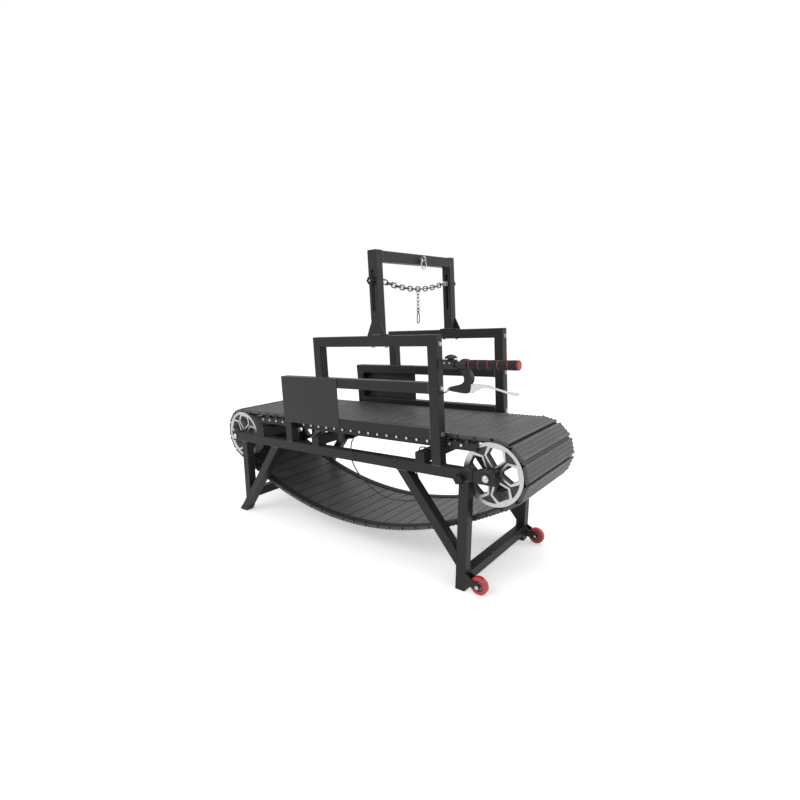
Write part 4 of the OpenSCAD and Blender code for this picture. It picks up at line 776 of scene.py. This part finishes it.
class TREADMILL_OT_brake_cable(bpy.types.Operator):
    """Makes the brake cable's sheath, its fittings at both ends and the grommets in the post"""
    bl_idname = "treadmill.brake_cable"
    bl_label = "Brake cable"

    def execute(self, context):
        looks = context.scene.treadmill_handle
        tones = (looks.sheath, shade(looks.sheath, 1.6))
        sheath = coated("cable_sheath", tones, (0.34, 0.46), (1400, 0.00004))
        path = [DECK @ p for p in smooth_path(CABLE_ROUTE, CABLE_SPACING, CABLE_EASING)]
        data = bpy.data.curves.new("brake_cable_sheath", "CURVE")
        data.dimensions = "3D"
        data.bevel_depth = looks.cable_width / 2
        data.bevel_resolution = 4
        data.use_fill_caps = True
        spline = data.splines.new("POLY")
        spline.points.add(len(path) - 1)
        for spot, place in zip(spline.points, path):
            spot.co = (*place, 1)
        data.materials.append(sheath)
        cable = bpy.data.objects.new("brake_cable_sheath", data)
        context.scene.collection.objects.link(cable)
        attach(cable, "frame")
        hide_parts("brake_cable")
        self.add_fittings(looks)
        return {"FINISHED"}

    def add_fittings(self, looks):
        steel = metal("fitting_steel", (0.5, 0.5, 0.52), (0.3, 0.45), (60, 60, 60))
        route = [Vector(p) for p in CABLE_ROUTE]
        half = looks.cable_width / 2
        bm = bmesh.new()
        way = (route[0] - route[1]).normalized()
        ribs = [(RIB_START - RIB_PITCH * k, RIB_RADII[k % 2]) for k in reversed(range(RIB_COUNT))]
        cone = [(-0.009, half + 0.0002), (-0.0088, half + 0.0012), (-0.002, 0.0036), (0.003, 0.0042)]
        profile = [(along - ADJUSTER_BACK, radius) for along, radius in cone + ribs]
        add_turned(bm, profile, route[0], way, 28)
        piece_from("cable_adjuster", bm, "frame", steel, DECK)
        bm = bmesh.new()
        way = (route[-1] - route[-2]).normalized()
        profile = [(-0.016, half + 0.0002), (-0.0155, half + 0.0011), (-0.001, half + 0.0011),
                   (-0.0005, half + 0.0004)]
        add_turned(bm, profile, route[-1], way, 24)
        piece_from("cable_ferrule", bm, "frame", steel, DECK)
        tones = ((0.012, 0.012, 0.012), (0.02, 0.02, 0.02))
        black = coated("grommet_rubber", tones, (0.5, 0.65), (900, 0.00005))
        bm = bmesh.new()
        profile = [(-0.002, half + 0.0002), (0.0012, half + 0.0003), (0.0018, half + 0.0014),
                   (0.0014, 0.0062), (0, 0.0068)]
        for place, way in CABLE_HOLES:
            add_turned(bm, profile, place, way, 28)
        piece_from("cable_grommets", bm, "frame", black, DECK)


class TREADMILL_OT_frame_paint(bpy.types.Operator):
    """Paints the tubes, plates and inner steel"""
    bl_idname = "treadmill.frame_paint"
    bl_label = "Frame paint"

    def execute(self, context):
        looks = context.scene.treadmill_frame
        rough = (looks.gloss - 0.05, looks.gloss + 0.06)
        # Edge colour for the coats: scuffed paint and a painted edge highlight together
        edge_scuff_and_highlight_tone = (0.16, 0.16, 0.16)
        dress("frame_paint", coated("frame_paint", (looks.paint, looks.paint_light), rough, (620, 0.00006),
                                    (edge_scuff_and_highlight_tone, 0.55), dusty=0.07, specular=0.24, drift=3.0))
        plate = (looks.plate, shade(looks.plate, 1.14))
        dress("plate_paint", coated("plate_paint", plate, rough, (560, 0.00007), (edge_scuff_and_highlight_tone, 0.5),
                                    dusty=0.05, specular=0.24, drift=2.5))
        inner = (looks.dark_steel, shade(looks.dark_steel, 1.5))
        # The inner steel's lighter edges are likewise scuffs and a painted edge highlight
        dress("dark_steel", coated("dark_steel", inner, (0.38, 0.52), (700, 0.00005),
                                   ((0.22, 0.22, 0.23), 0.5), dusty=0.08, specular=0.3))
        return {"FINISHED"}


class TREADMILL_OT_welds(bpy.types.Operator):
    """Lays weld beads along the joints of the tubes"""
    bl_idname = "treadmill.welds"
    bl_label = "Welds"

    def execute(self, context):
        bead, paint = context.scene.treadmill_frame.bead, finish_named("frame_paint")
        bm = bmesh.new()
        for y in (-SIDE_Y, SIDE_Y):
            self.add_upright_beads(bm, y, bead)
            self.add_bar_beads(bm, y, bead)
        piece_from("weld_beads_guard", bm, "frame", paint, DECK)
        bm = bmesh.new()
        for side in (-1, 1):
            self.add_leg_beads(bm, side, bead)
        piece_from("weld_beads_legs", bm, "frame", paint)
        return {"FINISHED"}

    def add_ring(self, bm, middle, along, across, bead):
        """A bead round the end of a tube."""
        add_bead(bm, loop_path(middle, along, across, HALF_TUBE, HALF_TUBE), bead, True)

    def add_upright_beads(self, bm, y, bead):
        feet = ((FRONT_POST_X, HALF_TUBE), (REAR_POST_X, HALF_TUBE), (REAR_POST_X, MID_RAIL_Z - HALF_TUBE),
                (UPPER_POST_X, MID_RAIL_Z + HALF_TUBE), (ARCH_X, ARCH_FOOT_Z))
        for x, z in feet:
            self.add_ring(bm, (x, y, z), (1, 0, 0), (0, 1, 0), bead)

    def add_bar_beads(self, bm, y, bead):
        front, rear = FRONT_POST_X - HALF_TUBE, REAR_POST_X + HALF_TUBE
        for x, z in ((front, LOWER_BAR_Z), (rear, LOWER_BAR_Z), (front, MID_RAIL_Z)):
            self.add_ring(bm, (x, y, z), (0, 1, 0), (0, 0, 1), bead)
        inner = math.copysign(INNER_Y, y)
        self.add_ring(bm, (ARCH_X, inner, ARCH_BAR_Z), (1, 0, 0), (0, 0, 1), bead)
        reach = HALF_TUBE - bead
        for middle in CROSS_TUBES_X:
            for x in (middle - HALF_TUBE, middle + HALF_TUBE):
                ends = [Vector((x, y - reach, HALF_TUBE)), Vector((x, y + reach, HALF_TUBE))]
                add_bead(bm, [ends[0].lerp(ends[1], k / 14) for k in range(15)], bead, False)

    def add_leg_beads(self, bm, side, bead):
        inner = side * INNER_Y
        lean = Vector((math.sin(FRONT_LEAN), 0, math.cos(FRONT_LEAN)))
        front = Vector((FRONT_FOOT_X, inner, 0)) + lean * FRONT_BAR_RISE
        self.add_ring(bm, front, lean.cross((0, 1, 0)), lean, bead)
        low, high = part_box("rear_cross_bar")
        rear = Vector(((low.x + high.x) / 2, inner, (low.z + high.z) / 2))
        self.add_ring(bm, rear, (1, 0, 0), (0, 0, 1), bead)
        along, to_deck = DECK.to_3x3() @ Vector((1, 0, 0)), DECK.inverted()
        for node in ("front_legs", "rear_legs", "front_braces", "rear_braces"):
            corners = [to_deck @ v.co for v in frame["nodes"][node].data.vertices if v.co.y * side > 0]
            reach = [corner.x for corner in corners if abs(corner.z + HALF_TUBE) < TOP_REACH]
            middle = DECK @ Vector(((min(reach) + max(reach)) / 2, side * SIDE_Y, -HALF_TUBE))
            half = (max(reach) - min(reach)) / 2
            add_bead(bm, loop_path(middle, along, (0, 1, 0), half, HALF_TUBE), bead, True)


class TREADMILL_OT_deck(bpy.types.Operator):
    """Finishes the slats, the belts and the deck bearings"""
    bl_idname = "treadmill.deck"
    bl_label = "Deck"

    def execute(self, context):
        looks = context.scene.treadmill_deck
        dress("slat_plastic", slat_plastic(looks))
        dress("belt_rubber", woven_rubber(looks))
        dress("bearing_steel", metal("bearing_steel", looks.bearing, (0.2, 0.34), (40, 900, 40)))
        return {"FINISHED"}


class TREADMILL_OT_wheels(bpy.types.Operator):
    """Finishes the end wheels"""
    bl_idname = "treadmill.wheels"
    bl_label = "End wheels"

    def execute(self, context):
        looks = context.scene.treadmill_wheels
        for end, sign in (("front", 1), ("rear", -1)):
            centre = DECK @ Vector((sign * AXLE_X, 0, 0))
            finish = wheel_alloy("wheel_alloy_" + end, centre, looks)
            dress("wheel_alloy", finish, (end + "_wheel_right", end + "_wheel_left"))
        return {"FINISHED"}


class TREADMILL_OT_casters(bpy.types.Operator):
    """Finishes the casters"""
    bl_idname = "treadmill.casters"
    bl_label = "Casters"

    def execute(self, context):
        low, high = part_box("caster_right")
        centre = Vector(((low.x + high.x) / 2, 0, (low.z + high.z) / 2))
        dress("caster_red", caster_plastic("caster_red", centre, context.scene.treadmill_wheels))
        return {"FINISHED"}


class TREADMILL_OT_fittings(bpy.types.Operator):
    """Finishes the chain, bolts, knobs, plugs and feet, and adds the bolt ends in the chain knobs"""
    bl_idname = "treadmill.fittings"
    bl_label = "Fittings"

    def execute(self, context):
        looks = context.scene.treadmill_fittings
        zinc = metal("zinc_steel", looks.zinc, (0.24, 0.38), (120, 120, 120))
        dress("zinc_steel", zinc)
        dress("chain_steel", metal("chain_steel", looks.chain, (0.26, 0.42), (160, 160, 160), dirt=0.4))
        soft_black = shade(looks.knob, 1.7)
        # Knobs get lighter edges: scuffs and a painted edge highlight
        dress("knob_plastic", coated("knob_plastic", (looks.knob, soft_black), (0.36, 0.5), (800, 0.00008),
                                     ((0.04, 0.04, 0.04), 0.5), specular=0.22))
        dress("tube_plug", coated("tube_plug", (looks.knob, soft_black), (0.4, 0.55), (700, 0.0001),
                                  specular=0.25))
        soft_black = shade(looks.rubber, 1.9)
        dress("rubber_foot", coated("rubber_foot", (looks.rubber, soft_black), (0.7, 0.85), (420, 0.00016),
                                    dusty=0.2))
        dress("pad_rubber", coated("pad_rubber", (looks.rubber, soft_black), (0.72, 0.88), (380, 0.0002)))
        for name, sign, body in (("right", -1, "chain_carrier"), ("left", 1, "chain_anchor_left")):
            bm = bmesh.new()
            r = looks.bolt_end
            profile = [(-0.001, r), (0.0006, r), (0.0011, r * 0.82), (0.0014, r * 0.45), (0.0015, 0)]
            add_turned(bm, profile, (ARCH_X, sign * CHAIN_KNOB_Y, CHAIN_Z), (0, sign, 0), 24)
            piece_from("chain_bolt_end_" + name, bm, body, zinc, DECK)
        return {"FINISHED"}


class TREADMILL_OT_handle(bpy.types.Operator):
    """Makes the foam grip and finishes the rings, the lever body and the blade"""
    bl_idname = "treadmill.handle"
    bl_label = "Handle and lever"

    def execute(self, context):
        looks = context.scene.treadmill_handle
        self.add_grip(looks)
        ring = coated("grip_red", (looks.ring, shade(looks.ring, 0.85)), (0.26, 0.36), (900, 0.00004))
        dress("grip_red", ring)
        # The lever body's lighter edges: scuffs and a painted edge highlight
        dress("lever_plastic", coated("lever_plastic", (looks.lever, shade(looks.lever, 1.6)), (0.34, 0.46),
                                      (900, 0.00006), ((0.08, 0.08, 0.08), 0.5), specular=0.25))
        blade = metal("lever_alloy", looks.blade, (0.16, 0.28), (12, 700, 260), 0.00002, dirt=0.12)
        dress("lever_alloy", blade)
        return {"FINISHED"}

    def add_grip(self, looks):
        pitch = (GRIP_END - GRIP_START) / GRIP_RING_COUNT
        rings = [GRIP_START + GRIP_RING + pitch * k for k in range(GRIP_RING_COUNT)]
        stops = [GRIP_START] + [x for low in rings for x in (low, low + GRIP_RING)] + [GRIP_END]
        outer = []
        for low, high in zip(stops[::2], stops[1::2]):
            outer.append((low, GRIP_RADIUS - GRIP_TUCK))
            for k in range(GRIP_STEPS + 1):
                t = k / GRIP_STEPS
                lip = GRIP_LIP * (1 - (2 * t - 1) ** 6)
                swell = (looks.swell - GRIP_EASE) * math.sin(math.pi * t)
                outer.append((low + (high - low) * (0.02 + 0.96 * t), GRIP_RADIUS - GRIP_SINK + lip + swell))
            outer.append((high, GRIP_RADIUS - GRIP_TUCK))
        bm = bmesh.new()
        profile = [(GRIP_START, GRIP_BORE)] + outer + [(GRIP_END, GRIP_BORE)]
        add_turned(bm, profile, (0, -SIDE_Y, HANDLE_Z), (1, 0, 0), 56)
        bm.faces.ensure_lookup_table()
        caps = [f for f in bm.faces if len(f.verts) > 4]
        bmesh.ops.delete(bm, geom=caps, context="FACES")
        grip = piece_from("foam_grip", bm, "frame", foam(looks), DECK)
        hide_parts("handle_grip")


GROUPS = {"treadmill_stage": TREADMILL_PG_stage, "treadmill_frame": TREADMILL_PG_frame,
          "treadmill_deck": TREADMILL_PG_deck, "treadmill_wheels": TREADMILL_PG_wheels,
          "treadmill_fittings": TREADMILL_PG_fittings, "treadmill_handle": TREADMILL_PG_handle}
STEPS = (TREADMILL_OT_stage, TREADMILL_OT_brake_cable, TREADMILL_OT_frame_paint, TREADMILL_OT_welds,
         TREADMILL_OT_deck, TREADMILL_OT_wheels, TREADMILL_OT_casters, TREADMILL_OT_fittings,
         TREADMILL_OT_handle)


class TREADMILL_PT_sidebar(bpy.types.Panel):
    """Lists the steps that dress the treadmill, and their sizes and colours"""
    bl_idname = "TREADMILL_PT_sidebar"
    bl_label = "Dog treadmill"
    bl_space_type = "VIEW_3D"
    bl_region_type = "UI"
    bl_category = "Treadmill"

    def draw(self, context):
        for step in STEPS:
            self.layout.operator(step.bl_idname)
        for name, group in GROUPS.items():
            box = self.layout.box()
            for field in group.__annotations__:
                box.prop(getattr(context.scene, name), field)


def register():
    for group in (*GROUPS.values(), *STEPS, TREADMILL_PT_sidebar):
        bpy.utils.register_class(group)
    for name, group in GROUPS.items():
        setattr(bpy.types.Scene, name, PointerProperty(type=group))


def unregister():
    for name in GROUPS:
        delattr(bpy.types.Scene, name)
    for group in (TREADMILL_PT_sidebar, *reversed(STEPS), *GROUPS.values()):
        bpy.utils.unregister_class(group)


def main():
    register()
    bpy.ops.treadmill.stage()
    bpy.ops.treadmill.brake_cable()
    bpy.ops.treadmill.frame_paint()
    bpy.ops.treadmill.welds()
    bpy.ops.treadmill.deck()
    bpy.ops.treadmill.wheels()
    bpy.ops.treadmill.casters()
    bpy.ops.treadmill.fittings()
    bpy.ops.treadmill.handle()


if __name__ == "__main__":
    main()
